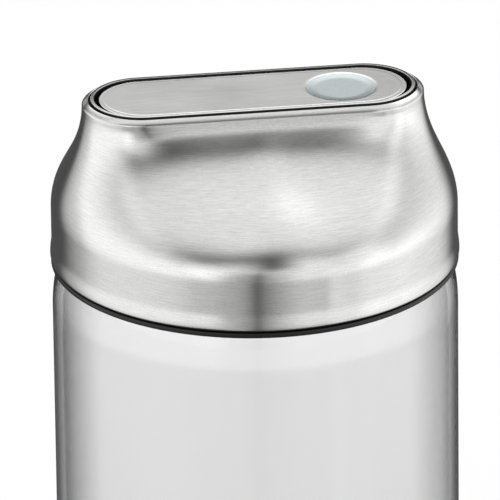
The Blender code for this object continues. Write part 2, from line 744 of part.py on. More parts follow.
def build_plate(finish, parent):
    """The flap's steel plate: a shallow tray upside down, with a round finger dimple."""
    outline = flap_outline(FLAP_OUT)

    def level(inset, z):
        inner = flap_outline(FLAP_OUT - Vector((inset, inset)))
        return [(point.x, point.y, z) for point in inner]

    def dish(top_z):
        rings = []
        for step in range(1, DIMPLE_RINGS + 1):
            share = step / DIMPLE_RINGS
            z = top_z - DIMPLE_DEPTH * (1 - share * share)
            rings.append(ray_ring(DIMPLE_X, outline, DIMPLE_R * share, z))
        return rings

    under_z = FLAP_TOP_Z - SHEET
    foot_z = FLAP_TOP_Z - FLAP_RIM_DEPTH
    rings = dish(FLAP_TOP_Z)
    rings.append(level(FLAP_EDGE_R, FLAP_TOP_Z))
    rings.append(level(0.0, FLAP_TOP_Z - FLAP_EDGE_R))
    rings.append(level(0.0, foot_z))
    rings.append(level(SHEET, foot_z))
    rings.append(level(SHEET, under_z))
    rings += list(reversed(dish(under_z)))
    return add_object("flap_plate", loft(rings, closed=False), finish, parent)


def build_carrier(finish, parent):
    """The black flap carrier: top web, side ribs, pin bosses, cam, and the boss that holds the seal."""
    rib_z = LEDGE_Z + GAP
    block = prism(stadium(CARRIER_OUT), rib_z, CARRIER_TOP_Z)
    carrier = add_object("flap_carrier", block, finish, parent)
    far = FLAP_OUT.x + OVERRUN

    def change(name, builder, operation):
        return boolean(carrier, name, builder, operation, finish)

    step_x = PIVOT_X - RIB_REACH
    pocket = half_stadium(step_x, CARRIER_OUT - Vector((RIB_WIDTH, RIB_WIDTH)))
    wide = [(step_x, far), (-far, far), (-far, -far), (step_x, -far)]
    outline = [pocket[0]] + [Vector(point) for point in wide] + pocket[1:]
    change("cut_carrier_under", prism(outline, rib_z - OVERRUN, CARRIER_Z), "DIFFERENCE")
    hole = [((DIMPLE_X, 0, CARRIER_Z - OVERRUN), (DIMPLE_X, 0, FLAP_TOP_Z + OVERRUN))]
    change("cut_carrier_dimple", rods(DIMPLE_R - DIMPLE_HOLE_INSET, hole), "DIFFERENCE")
    inner = stadium(SEAL_IN - Vector((GAP, GAP)), centre_x=DUCT_X)
    change("add_carrier_seal_boss", prism(inner, FLAP_SEAL_Z + GAP, CARRIER_Z + GAP), "UNION")
    cam = [((PIVOT_X, -CAM_HALF_WIDTH, PIVOT_Z), (PIVOT_X, CAM_HALF_WIDTH, PIVOT_Z))]
    change("add_carrier_cam", rods(CAM_R, cam), "UNION")
    rib_y = CARRIER_OUT.y - RIB_WIDTH
    bosses = []
    holes = []
    for side in (-1, 1):
        start = side * (rib_y - PIN_BOSS_LENGTH)
        middle = (PIVOT_X, side * (rib_y + RIB_WIDTH / 2), PIVOT_Z)
        bosses.append(((PIVOT_X, start, PIVOT_Z), middle))
        mouth = (PIVOT_X, side * (CARRIER_OUT.y + GAP), PIVOT_Z)
        holes.append(((PIVOT_X, start - side * GAP, PIVOT_Z), mouth))
    change("add_carrier_pin_bosses", rods(PIN_BOSS_R, bosses), "UNION")
    change("cut_carrier_pins", rods(PIN_R + GAP, holes), "DIFFERENCE")
    for name, angle in (("cut_carrier_shut_flat", 0.0), ("cut_carrier_open_flat", FLAP_OPEN_ANGLE)):
        flat = rectangle(-CAM_R - OVERRUN, CAM_FLAT - CAM_R, CAM_HALF_WIDTH + GAP)
        builder = prism(flat, -CAM_R, CAM_R / 2)
        turn = Matrix.Translation((PIVOT_X, 0, PIVOT_Z)) @ Matrix.Rotation(-angle, 4, "Y")
        bmesh.ops.transform(builder, matrix=turn, verts=builder.verts)
        change(name, builder, "DIFFERENCE")
    return carrier


def build_flap_seal(finish, parent):
    """The silicone ring round the carrier's boss, which closes on the duct's rim."""
    outer = DUCT + Vector((SEAL_OUT, SEAL_OUT))
    rings = (stadium(outer, centre_x=DUCT_X), stadium(SEAL_IN, centre_x=DUCT_X))
    return add_object("flap_seal", band(*rings, FLAP_SEAL_Z, CARRIER_Z - GAP), finish, parent)


def build_pins(finish, parent):
    """The two steel pins that the flap rocks on."""
    start = CARRIER_OUT.y - PIN_BITE
    end = TRIM_OUT.y + BEARING_OUT - PIN_END_INSET
    made = []
    for name, side in (("hinge_pin_front", -1), ("hinge_pin_back", 1)):
        span = [((PIVOT_X, side * start, PIVOT_Z), (PIVOT_X, side * end, PIVOT_Z))]
        made.append(add_object(name, rods(PIN_R, span), finish, parent))
    return made


def main():
    """Builds the jar, the lid and the flap."""
    clear_scene()
    glass = material("clear_glass", (0.95, 0.97, 0.97), 0.02, 0.0, 0.3)
    steel = material("brushed_steel", (0.56, 0.56, 0.55), 0.32, 1.0)
    bright = material("polished_steel", (0.66, 0.66, 0.66), 0.15, 1.0)
    black = material("black_plastic", (0.012, 0.012, 0.012), 0.4, 0.0)
    silicone = material("clear_silicone", (0.6, 0.6, 0.58), 0.55, 0.0)
    build_jar(glass)
    build_cover(steel)
    build_core(black)
    build_jar_seal(silicone)
    build_trim(bright)
    build_frame(black)
    build_gasket(silicone)
    build_screws(bright)
    build_spring(bright)
    hinge = bpy.data.objects.new("flap_hinge", None)
    hinge.location = (PIVOT_X, 0, PIVOT_Z)
    hinge.empty_display_size = PIN_BITE
    bpy.context.collection.objects.link(hinge)
    bpy.context.view_layer.update()
    build_plate(steel, hinge)
    build_carrier(black, hinge)
    build_flap_seal(silicone, hinge)
    build_pins(bright, hinge)


main()
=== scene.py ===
"""Looks for a glass food jar with a push-on steel lid and a rocking pour flap.

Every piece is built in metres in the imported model's own frame. It takes its main sizes from the
model's nodes, rides on one of the model's bodies and stands for the node whose shape it refines.
"""

import json
import logging
import math
from dataclasses import dataclass
from enum import Enum
from typing import Any, Callable, Optional, Sequence

import bmesh
import bpy
from mathutils import Matrix, Vector

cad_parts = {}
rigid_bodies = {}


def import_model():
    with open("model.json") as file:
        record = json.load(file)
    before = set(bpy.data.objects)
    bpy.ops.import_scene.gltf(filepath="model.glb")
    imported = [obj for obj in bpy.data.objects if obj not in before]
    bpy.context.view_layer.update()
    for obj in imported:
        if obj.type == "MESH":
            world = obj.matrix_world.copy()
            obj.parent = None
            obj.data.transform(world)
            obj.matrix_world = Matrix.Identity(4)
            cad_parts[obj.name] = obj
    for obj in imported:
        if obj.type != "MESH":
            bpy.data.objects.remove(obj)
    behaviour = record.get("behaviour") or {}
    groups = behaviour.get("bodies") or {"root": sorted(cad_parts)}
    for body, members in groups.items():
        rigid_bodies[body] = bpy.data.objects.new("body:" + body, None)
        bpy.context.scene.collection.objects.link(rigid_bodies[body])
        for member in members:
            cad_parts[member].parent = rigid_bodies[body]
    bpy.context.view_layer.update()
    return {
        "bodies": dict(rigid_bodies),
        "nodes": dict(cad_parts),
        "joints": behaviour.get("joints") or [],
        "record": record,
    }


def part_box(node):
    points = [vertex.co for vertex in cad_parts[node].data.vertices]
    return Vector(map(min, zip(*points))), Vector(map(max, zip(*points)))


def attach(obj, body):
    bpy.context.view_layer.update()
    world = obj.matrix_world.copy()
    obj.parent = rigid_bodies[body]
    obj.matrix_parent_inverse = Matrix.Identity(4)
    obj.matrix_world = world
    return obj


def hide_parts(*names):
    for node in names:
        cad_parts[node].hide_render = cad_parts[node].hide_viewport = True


LOG = logging.getLogger("food_jar")

# Clearance between neighbouring pieces, and how far a cutter runs past what it cuts
GAP = 0.0003
TRIM_GAP = 0.0005
OVERRUN = 0.005

# Below this distance two points are one
MERGE = 0.000002

# Facets
TURN_STEPS = 192
END_STEPS = 40
SIDE_STEPS = 56
ROUND_STEPS = 8
ROD_STEPS = 40

# An edge sharper than this keeps a crease in the shading
SHARP_ANGLE = math.radians(32.0)

MILLIMETRE = 0.001

FRAME_SCREWS = (1, 2, 3, 4)

# Radius at which the cover's brushing is laid out, and the UV maps' scale
GRAIN_R = 0.055
UV_PER_METRE = 10

WHITE = (1.0, 1.0, 1.0, 1.0)

# Settings of a Map Range node that steps smoothly, and of a Vector Math node that multiplies
SMOOTH = {"interpolation_type": "SMOOTHSTEP"}
DOT_PRODUCT = {"operation": "DOT_PRODUCT"}

Rings = Sequence[Sequence[Vector]]


class Body(Enum):
    """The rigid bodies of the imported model."""

    JAR = "jar"
    LID = "lid"
    FLAP = "flap"


class Slot(Enum):
    """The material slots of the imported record."""

    GLASS = "clear_glass"
    BRUSHED = "brushed_steel"
    BRIGHT = "polished_steel"
    BLACK = "black_plastic"
    SILICONE = "silicone"


def linear(hex_colour: str) -> tuple[float, float, float, float]:
    """Turns an sRGB hex colour into linear light.

    Args:
        hex_colour: six hex digits after a hash sign.

    Returns:
        Red, green, blue and an alpha of one.
    """
    channels = []
    for start in (1, 3, 5):
        value = int(hex_colour[start : start + 2], 16) / 255
        low = value / 12.92
        high = ((value + 0.055) / 1.055) ** 2.4
        channels.append(low if value <= 0.04045 else high)
    return (channels[0], channels[1], channels[2], 1.0)


def fill(node: bpy.types.Node, settings: dict[Any, Any]) -> None:
    """Sets a node's values and links.

    Args:
        node: the node.
        settings: values by attribute name, or by the name or number of an input. A socket is linked
            to the input, and a node by its first output.
    """
    for name, value in settings.items():
        source = value.outputs[0] if isinstance(value, bpy.types.Node) else value
        if isinstance(source, bpy.types.NodeSocket):
            node.id_data.links.new(source, node.inputs[name])
        elif isinstance(name, int) or name in node.inputs:
            node.inputs[name].default_value = source
        else:
            setattr(node, name, source)


def add_node(tree: bpy.types.NodeTree, kind: str, settings: dict[Any, Any]) -> bpy.types.Node:
    """Adds a shader node with its settings and links.

    Args:
        tree: the node tree that gets the node.
        kind: the node type's name, without the ShaderNode that they all begin with.
        settings: what fill() is given for it.

    Returns:
        The new node.
    """
    node = tree.nodes.new(f"ShaderNode{kind}")
    fill(node, settings)
    return node


def repeats(size_mm: float) -> float:
    """Turns the real size of a mark, in millimetres, into its pattern's scale."""
    return 1 / (size_mm * MILLIMETRE)


def stadium(half: Vector, centre_x: float = 0.0, steps: int = END_STEPS) -> list[Vector]:
    """Outlines a stadium, anticlockwise from the lower corner of its right end.

    Args:
        half: half its length and half its width.
        centre_x: where its centre lies.
        steps: facets round each end.

    Returns:
        The outline's points.
    """
    points = []
    for side, start in ((1, -math.pi / 2), (-1, math.pi / 2)):
        for step in range(steps + 1):
            turn = start + math.pi * step / steps
            reach = side * (half.x - half.y) + half.y * math.cos(turn)
            points.append(Vector((centre_x + reach, half.y * math.sin(turn))))
    return points


def eased(share: float) -> float:
    """Turns an even share of a way into one that starts and ends gently."""
    return share * share * (3 - 2 * share)


def lifted(outline: Sequence[Vector], z: float) -> list[Vector]:
    """Places an outline at a height."""
    return [Vector((point.x, point.y, z)) for point in outline]


def grown(half: Vector, amount: float) -> Vector:
    """Widens a stadium's half sizes by an amount all round."""
    return half + Vector((amount, amount))


def arc(centre: tuple[float, float], radius: float, start: float, end: float) -> list[Vector]:
    """Draws an arc in the section plane.

    Args:
        centre: its centre, across and up.
        radius: its radius.
        start: the first angle in degrees.
        end: the last angle in degrees.

    Returns:
        The arc's points.
    """
    points = []
    for step in range(ROUND_STEPS + 1):
        turn = math.radians(start + (end - start) * step / ROUND_STEPS)
        points.append(Vector((centre[0] + radius * math.cos(turn), centre[1] + radius * math.sin(turn))))
    return points


def skin(builder: bmesh.types.BMesh, rings: Rings, closed: bool = False) -> None:
    """Extrudes an edge loop from ring to ring, then caps its ends or joins them.

    Args:
        builder: the mesh under construction.
        rings: point rings of equal length.
        closed: whether the last ring joins the first.
    """
    line = builder.verts.layers.int.get("line") or builder.verts.layers.int.new("line")
    made = bmesh.ops.create_circle(builder, segments=len(rings[0]), radius=1.0)
    corners = made["verts"]
    edges = list(dict.fromkeys(edge for corner in corners for edge in corner.link_edges))
    for index, corner in enumerate(corners):
        corner[line] = index
        corner.co = rings[0][index]
    if not closed:
        bmesh.ops.contextual_create(builder, geom=edges)
    later = list(rings[1:]) + ([rings[0]] if closed else [])
    for ring in later:
        grown_loop = bmesh.ops.extrude_edge_only(builder, edges=edges)["geom"]
        corners = [part for part in grown_loop if isinstance(part, bmesh.types.BMVert)]
        fresh = set(corners)
        for corner in corners:
            corner.co = ring[corner[line]]
        found = dict.fromkeys(edge for corner in corners for edge in corner.link_edges)
        edges = [edge for edge in found if set(edge.verts) <= fresh]
    if not closed:
        bmesh.ops.contextual_create(builder, geom=edges)


def prism(outline: Sequence[Vector], low_z: float, high_z: float) -> bmesh.types.BMesh:
    """Extrudes an outline between two heights.

    Args:
        outline: the outline's points.
        low_z: the lower height.
        high_z: the upper height.

    Returns:
        The closed mesh.
    """
    builder = bmesh.new()
    skin(builder, [lifted(outline, low_z), lifted(outline, high_z)])
    return builder


def stadium_band(half: Vector, section: Sequence[Vector], centre_x: float = 0.0) -> bmesh.types.BMesh:
    """Carries a closed section round a stadium.

    Args:
        half: half the stadium's length and half its width.
        section: how far outside the stadium each point lies, and its height.
        centre_x: where the stadium's centre lies.

    Returns:
        The band's mesh.
    """
    builder = bmesh.new()
    rings = [lifted(stadium(grown(half, point.x), centre_x), point.y) for point in section]
    skin(builder, rings, closed=True)
    return builder


def turned(profile: Sequence[Vector], steps: int = TURN_STEPS) -> bmesh.types.BMesh:
    """Spins a closed section round the Z axis.

    Args:
        profile: radius and height of each point.
        steps: facets round the turn.

    Returns:
        The mesh, with nothing left on its axis.
    """
    builder = bmesh.new()
    corners = [builder.verts.new((point.x, 0.0, point.y)) for point in profile]
    edges = [builder.edges.new((corners[i - 1], corners[i])) for i in range(len(corners))]
    bmesh.ops.spin(
        builder,
        geom=corners + edges,
        axis=(0, 0, 1),
        cent=(0, 0, 0),
        angle=2 * math.pi,
        steps=steps,
        use_merge=True,
    )
    bmesh.ops.remove_doubles(builder, verts=builder.verts, dist=MERGE)
    axis_edges = [edge for edge in builder.edges if all(v.co.xy.length < MERGE for v in edge.verts)]
    bmesh.ops.delete(builder, geom=axis_edges, context="EDGES")
    return builder


def rod(radius: float, start: Sequence[float], end: Sequence[float]) -> bmesh.types.BMesh:
    """Makes a capped cylinder.

    Args:
        radius: its radius.
        start: the middle of one end.
        end: the middle of the other.

    Returns:
        Its mesh.
    """
    builder = bmesh.new()
    first, last = Vector(start), Vector(end)
    turn = (last - first).to_track_quat("Z", "Y").to_matrix().to_4x4()
    bmesh.ops.create_cone(
        builder,
        cap_ends=True,
        segments=ROD_STEPS,
        radius1=radius,
        radius2=radius,
        depth=(last - first).length,
        matrix=Matrix.Translation((first + last) / 2) @ turn,
    )
    return builder


def round_edges(builder: bmesh.types.BMesh, width: float, least: float = SHARP_ANGLE) -> None:
    """Bevels the sharp edges of a mesh.

    Args:
        builder: the mesh.
        width: how far the bevel reaches from the edge.
        least: the least angle between two faces that counts as an edge.
    """
    sharp = [edge for edge in builder.edges if edge.is_manifold and edge.calc_face_angle() > least]
    bmesh.ops.bevel(
        builder,
        geom=sharp,
        offset=width,
        offset_type="OFFSET",
        affect="EDGES",
        segments=2,
        profile=0.5,
        clamp_overlap=True,
        material=-1,
    )


def to_object(name: str, builder: bmesh.types.BMesh) -> bpy.types.Object:
    """Closes a mesh up and links it to the scene as a smooth object.

    Args:
        name: the object's name.
        builder: the finished mesh, which is freed.

    Returns:
        The new object, at the origin.
    """
    bmesh.ops.remove_doubles(builder, verts=builder.verts, dist=MERGE)
    bmesh.ops.recalc_face_normals(builder, faces=builder.faces)
    mesh = bpy.data.meshes.new(name)
    builder.to_mesh(mesh)
    builder.free()
    mesh.shade_smooth()
    mesh.set_sharp_from_angle(angle=SHARP_ANGLE)
    made = bpy.data.objects.new(name, mesh)
    bpy.context.scene.collection.objects.link(made)
    return made


def put_in_order(mesh: bpy.types.Mesh) -> None:
    """Sorts a mesh's corners and faces by place, since a Boolean's own order varies from run to run.

    Args:
        mesh: the mesh, which keeps its shape.
    """
    points = [tuple(corner.co) for corner in mesh.vertices]
    order = sorted(range(len(points)), key=points.__getitem__)
    places = {corner: place for place, corner in enumerate(order)}
    faces = []
    for face in mesh.polygons:
        corners = [places[corner] for corner in face.vertices]
        first = corners.index(min(corners))
        faces.append(corners[first:] + corners[:first])
    mesh.clear_geometry()
    mesh.from_pydata([points[corner] for corner in order], [], sorted(faces))


def cut(target: bpy.types.Object, builder: bmesh.types.BMesh) -> None:
    """Cuts a helper solid from an object for good.

    Args:
        target: the object that changes.
        builder: the helper solid, which is freed.
    """
    helper = to_object(f"{target.name}_helper", builder)
    modifier = target.modifiers.new("solid", "BOOLEAN")
    modifier.operation = "DIFFERENCE"
    modifier.solver = "EXACT"
    modifier.object = helper
    graph = bpy.context.evaluated_depsgraph_get()
    result = bpy.data.meshes.new_from_object(target.evaluated_get(graph))
    put_in_order(result)
    target.modifiers.clear()
    before = target.data
    target.data = result
    result.name = target.name
    bpy.data.meshes.remove(before)
    shape = helper.data
    bpy.data.objects.remove(helper)
    bpy.data.meshes.remove(shape)


def middle(node: str) -> Vector:
    """Finds the middle of a node's box."""
    low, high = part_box(node)
    return (low + high) / 2


def soften(target: bpy.types.Object, width: float) -> None:
    """Merges a carved object's mesh, bevels its edges and smooths its shading.

    Args:
        target: the object.
        width: the bevel's reach.
    """
    builder = bmesh.new()
    builder.from_mesh(target.data)
    bmesh.ops.remove_doubles(builder, verts=builder.verts, dist=MERGE)
    bmesh.ops.dissolve_limit(
        builder, angle_limit=math.radians(0.5), verts=builder.verts, edges=builder.edges
    )
    round_edges(builder, width)
    builder.to_mesh(target.data)
    builder.free()
    target.data.shade_smooth()
    target.data.set_sharp_from_angle(angle=SHARP_ANGLE)


def refined(frame: dict[str, Any], node: str, name: str, edge: float) -> bpy.types.Object:
    """Copies a node's mesh, merges its loose triangles and rounds its edges.

    Args:
        frame: what the frame's loader returned.
        node: the node to copy.
        name: the new piece's name.
        edge: how far the rounding reaches.

    Returns:
        The new piece, not yet on a body.
    """
    mesh = frame["nodes"][node].data.copy()
    mesh.name = name
    made = bpy.data.objects.new(name, mesh)
    bpy.context.scene.collection.objects.link(made)
    soften(made, edge)
    return made


def give_grain(target: bpy.types.Object, place: Callable[[Vector], Vector]) -> None:
    """Stores, point by point, the coordinate that a directional grain reads.

    Args:
        target: the object.
        place: turns a point of the piece into its place in the grain, in metres.
    """
    grain = target.data.attributes.new("grain", "FLOAT_VECTOR", "POINT")
    for item, vertex in zip(grain.data, target.data.vertices):
        item.vector = place(vertex.co)


def give_uv(target: bpy.types.Object, place: Callable[[Vector, Vector], tuple[float, float]]) -> None:
    """Gives a UV map whose first direction follows the grain.

    Args:
        target: the object.
        place: turns a point, and the middle of its face, into its two coordinates.
    """
    layer = target.data.uv_layers.new(name="grain_uv")
    for face in target.data.polygons:
        for loop in face.loop_indices:
            corner = target.data.vertices[target.data.loops[loop].vertex_index].co
            layer.data[loop].uv = place(corner, face.center)


def settle(
    target: bpy.types.Object,
    material: bpy.types.Material,
    body: Body,
    node: str,
) -> bpy.types.Object:
    """Dresses a finished piece and hangs it on its body.

    Args:
        target: the piece.
        material: its finish.
        body: the body that it rides on.
        node: the model's node that it stands for.

    Returns:
        The piece.
    """
    target.data.materials.clear()
    target.data.materials.append(material)
    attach(target, body.value)
    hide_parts(node)
    LOG.info("%s: %d faces on %s", target.name, len(target.data.polygons), body.value)
    return target


@dataclass(frozen=True)
class Finish:
    """What the finishes share: marks that vary their tone, their gloss and their relief.

    Names that end in mm are real sizes of marks, and the tones multiply the colour.
    """

    name: str
    colour: str = "#808080"
    roughness: float = 0.5

    def start(
        self, settings: dict[Any, Any]
    ) -> tuple[bpy.types.Material, bpy.types.Node, bpy.types.NodeSocket]:
        """Starts the material.

        Args:
            settings: the surface shader's even values.

        Returns:
            The material, its surface shader and the place on the piece that its marks read.
        """
        made = bpy.data.materials.new(self.name)
        made.use_nodes = True
        shader = made.node_tree.nodes["Principled BSDF"]
        fill(shader, settings)
        return made, shader, add_node(made.node_tree, "TexCoord", {}).outputs["Object"]

    def vary(
        self,
        shader: bpy.types.Node,
        marks: bpy.types.Node,
        tones: Optional[tuple[float, float]] = None,
        gloss: Optional[tuple[float, float]] = None,
        relief: Optional[tuple[float, float]] = None,
        spread: tuple[float, float] = (0.3, 0.7),
    ) -> None:
        """Lets marks vary the surface.

        Args:
            shader: the surface shader.
            marks: the pattern.
            tones: what the colour is multiplied by at the pattern's low and high end.
            gloss: what is added to the roughness at its low and high end.
            relief: the strength of the relief, and its depth in millimetres.
            spread: the values that count as the pattern's low and high end.
        """
        tree = shader.id_data
        ends = {"Value": marks, "From Min": spread[0], "From Max": spread[1]}
        if tones:
            tone = add_node(tree, "MapRange", ends | {"To Min": tones[0], "To Max": tones[1]})
            tint = {"blend_type": "MULTIPLY", 0: 1.0, 6: linear(self.colour), 7: tone}
            mixed = add_node(tree, "Mix", {"data_type": "RGBA"} | tint)
            fill(shader, {"Base Color": mixed.outputs[2]})
        if gloss:
            low, high = (self.roughness + change for change in gloss)
            fill(shader, {"Roughness": add_node(tree, "MapRange", ends | {"To Min": low, "To Max": high})})
        if relief:
            depth = relief[1] * MILLIMETRE
            bump = {"Strength": relief[0], "Distance": depth, "Height": marks}
            fill(shader, {"Normal": add_node(tree, "Bump", bump)})


@dataclass(frozen=True)
class BrushedStainless(Finish):
    """Stainless steel sheet, drawn and then brushed with a fine belt.

    The brushing leaves hair lines along the grain, so a highlight is short along the lines and long
    across them. The real lines are finer, and are drawn as coarse as they need to show.
    """

    colour: str = "#C8C8C7"
    roughness: float = 0.2
    anisotropy: float = 0.77
    tones: tuple[float, float] = (0.8, 1.12)
    line_mm: float = 0.2
    line_length_mm: float = 6.0
    line_depth_mm: float = 0.0015
    speckle_mm: float = 0.4
    speckle_share: float = 0.35
    patch_mm: float = 22.0

    def build(self) -> bpy.types.Material:
        """Builds the material.

        Returns:
            The material.
        """
        along, across = repeats(self.line_length_mm), repeats(self.line_mm)
        brushing = {"Metallic": 1.0, "Anisotropic": self.anisotropy, "Anisotropic Rotation": 0.25}
        made, shader, point = self.start(brushing)
        tree = made.node_tree
        grain = add_node(tree, "Attribute", {"attribute_name": "grain"}).outputs["Vector"]
        drawn = add_node(tree, "Mapping", {"Scale": (along, along, across), "Vector": grain})
        fibres = {"Scale": 1.0, "Detail": 3.0, "Roughness": 0.62, "Vector": drawn}
        lines = add_node(tree, "TexNoise", fibres)
        spots = {"Detail": 2.0, "Vector": point}
        patches = add_node(tree, "TexNoise", spots | {"Scale": repeats(self.patch_mm)})
        speckle = add_node(tree, "TexNoise", spots | {"Scale": repeats(self.speckle_mm)})
        marks = add_node(tree, "Mix", {0: self.speckle_share, 2: lines, 3: speckle})
        self.vary(shader, marks, tones=self.tones, spread=(0.25, 0.75))
        self.vary(shader, patches, gloss=(-0.02, 0.02))
        self.vary(shader, lines, relief=(0.6, self.line_depth_mm))
        tangent = add_node(tree, "Tangent", {"direction_type": "UV_MAP", "uv_map": "grain_uv"})
        fill(shader, {"Tangent": tangent})
        return made


@dataclass(frozen=True)
class BlastedStainless(Finish):
    """Stainless steel blasted with fine glass beads.

    It scatters light evenly into a cool satin grey, with a faint sparkle where single beads struck.
    The real pits are finer, and are drawn as coarse as they need to show.
    """

    colour: str = "#A6ADAF"
    roughness: float = 0.42
    pit_mm: float = 0.45
    pit_depth_mm: float = 0.01

    def build(self) -> bpy.types.Material:
        """Builds the material.

        Returns:
            The material.
        """
        made, shader, point = self.start({"Metallic": 1.0, "Roughness": self.roughness})
        tree = made.node_tree
        pitting = {"Scale": repeats(self.pit_mm), "Detail": 3.0, "Roughness": 0.6, "Vector": point}
        pits = add_node(tree, "TexNoise", pitting)
        self.vary(shader, pits, tones=(0.86, 1.08), relief=(0.5, self.pit_depth_mm))
        return made


@dataclass(frozen=True)
class BrightStainless(Finish):
    """Stainless steel that is turned or drawn and left bright.

    It mirrors softly, with faint drawing marks and a little unevenness in its gloss.
    """

    colour: str = "#CFCFCD"
    roughness: float = 0.16
    mark_mm: float = 0.5
    mark_depth_mm: float = 0.004

    def build(self) -> bpy.types.Material:
        """Builds the material.

        Returns:
            The material.
        """
        made, shader, point = self.start({"Metallic": 1.0, "Base Color": linear(self.colour)})
        tree = made.node_tree
        drawing = {"Scale": repeats(self.mark_mm), "Detail": 3.0, "Vector": point}
        marks = add_node(tree, "TexNoise", drawing)
        self.vary(shader, marks, gloss=(-0.04, 0.05), relief=(0.4, self.mark_depth_mm))
        return made


@dataclass(frozen=True)
class FlintGlass(Finish):
    """Colourless soda-lime glass, pressed and fire polished.

    It is clear, with a grey body that shows where the eye looks along the wall, and the slow ripple that
    pressing leaves. Its colour turns dark where the surface turns away from the eye: painted shade, for
    the dark rim that the wall shows. Above the start of the shoulder its colour is lighter: painted
    light, for the brighter band round the neck.
    """

    colour: str = "#F4F4F4"
    roughness: float = 0.0
    # Painted light: the glass's colour turns lighter between these two heights, above the start of the
    # shoulder
    neck_light_colour: str = "#FFFFFF"
    neck_light_from_mm: float = 147.8
    neck_light_to_mm: float = 149.2
    # Painted shade: the dark grey that the glass's colour takes where its surface turns away from the eye
    edge_shade_colour: str = "#3F3F3F"
    edge_shade_from: float = 0.44
    edge_shade_to: float = 0.84
    body_colour: str = "#7E807F"
    body_density: float = 34.0
    ripple_mm: float = 24.0
    ripple_depth_mm: float = 0.02

    def build(self) -> bpy.types.Material:
        """Builds the material.

        Returns:
            The material.
        """
        clear_glass = {"Transmission Weight": 1.0, "IOR": 1.52, "Roughness": self.roughness}
        made, shader, point = self.start(clear_glass)
        tree = made.node_tree
        # Painted light: a lighter colour above the start of the shoulder stands for the brighter band
        # round the neck
        height = add_node(tree, "SeparateXYZ", {0: point}).outputs["Z"]
        start, end = self.neck_light_from_mm * MILLIMETRE, self.neck_light_to_mm * MILLIMETRE
        neck_light = add_node(tree, "MapRange", {"From Min": start, "From Max": end, "Value": height})
        clear = {"data_type": "RGBA", 0: neck_light, 6: linear(self.colour), 7: linear(self.neck_light_colour)}
        body = add_node(tree, "Mix", clear).outputs[2]
        # Painted shade: the colour darkens to a dark grey where the surface turns away from the eye
        facing = add_node(tree, "LayerWeight", {"Blend": 0.5}).outputs["Facing"]
        turning = {"From Min": self.edge_shade_from, "From Max": self.edge_shade_to, "Value": facing}
        edge = add_node(tree, "MapRange", turning)
        edge_shaded = {"data_type": "RGBA", 0: edge, 6: body, 7: linear(self.edge_shade_colour)}
        fill(shader, {"Base Color": add_node(tree, "Mix", edge_shaded).outputs[2]})
        rippling = {"Scale": repeats(self.ripple_mm), "Detail": 1.0, "Vector": point}
        self.vary(shader, add_node(tree, "TexNoise", rippling), relief=(0.5, self.ripple_depth_mm))
        depth = {"Color": linear(self.body_colour), "Density": self.body_density}
        fill(tree.nodes["Material Output"], {"Volume": add_node(tree, "VolumeAbsorption", depth)})
        return made


@dataclass(frozen=True)
class MouldedPolypropylene(Finish):
    """Black polypropylene from a finely eroded mould.

    The mould leaves an even satin skin with a fine texture, a little shinier on its high points.
    """

    colour: str = "#0D0D0E"
    roughness: float = 0.4
    texture_mm: float = 0.35
    texture_depth_mm: float = 0.012

    def build(self) -> bpy.types.Material:
        """Builds the material.

        Returns:
            The material.
        """
        made, shader, point = self.start({"IOR": 1.49, "Specular IOR Level": 0.35})
        tree = made.node_tree
        eroding = {"Scale": repeats(self.texture_mm), "Detail": 2.0, "Vector": point}
        texture = add_node(tree, "TexNoise", eroding)
        relief = (0.5, self.texture_depth_mm)
        self.vary(shader, texture, tones=(0.8, 1.2), gloss=(0.06, -0.06), relief=relief)
        return made


@dataclass(frozen=True)
class MilkySilicone(Finish):
    """Food-grade silicone rubber, moulded in its own milky colour.

    Light goes a little way into it, and its skin is dull with a faint dusty bloom.
    """

    colour: str = "#D9D8D3"
    roughness: float = 0.5
    bloom_mm: float = 3.0
    depth: float = 0.0015

    def build(self) -> bpy.types.Material:
        """Builds the material.

        Returns:
            The material.
        """
        milk = {"Subsurface Weight": 0.35, "Subsurface Radius": (1.0, 1.0, 0.9)}
        made, shader, point = self.start(milk | {"Subsurface Scale": self.depth, "IOR": 1.41})
        tree = made.node_tree
        dusting = {"Scale": repeats(self.bloom_mm), "Detail": 3.0, "Vector": point}
        bloom = add_node(tree, "TexNoise", dusting)
        self.vary(shader, bloom, tones=(0.94, 1.03), gloss=(-0.06, 0.08))
        return made


@dataclass(frozen=True)
class Plan:
    """The levels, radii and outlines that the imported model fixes, in metres."""

    seat_z: float
    ring_foot_z: float
    jar_r: float
    neck_top_z: float
    crest_z: float
    deck_top_z: float
    bead_r: float
    opening: Vector
    trim_out: Vector
    trim_foot_z: float
    trim_top_z: float
    flap_out: Vector
    flap_foot_z: float
    flap_top_z: float

    @classmethod
    def from_nodes(cls) -> "Plan":
        """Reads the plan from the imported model's nodes.

        Returns:
            The plan.
        """
        cover_low, cover_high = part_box("lid_cover")
        core_low, core_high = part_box("lid_core")
        trim_low, trim_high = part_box("trim_ring")
        plate_low, plate_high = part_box("flap_plate")
        jar_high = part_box("jar_glass")[1]
        trim_out = Vector((trim_high.x, trim_high.y))
        return cls(
            seat_z=cover_low.z,
            ring_foot_z=core_low.z,
            jar_r=jar_high.x,
            neck_top_z=jar_high.z,
            crest_z=cover_high.z,
            deck_top_z=core_high.z,
            bead_r=cover_high.x,
            opening=grown(trim_out, TRIM_GAP),
            trim_out=trim_out,
            trim_foot_z=trim_low.z,
            trim_top_z=trim_high.z,
            flap_out=Vector((plate_high.x, plate_high.y)),
            flap_foot_z=plate_low.z,
            flap_top_z=plate_high.z,
        )


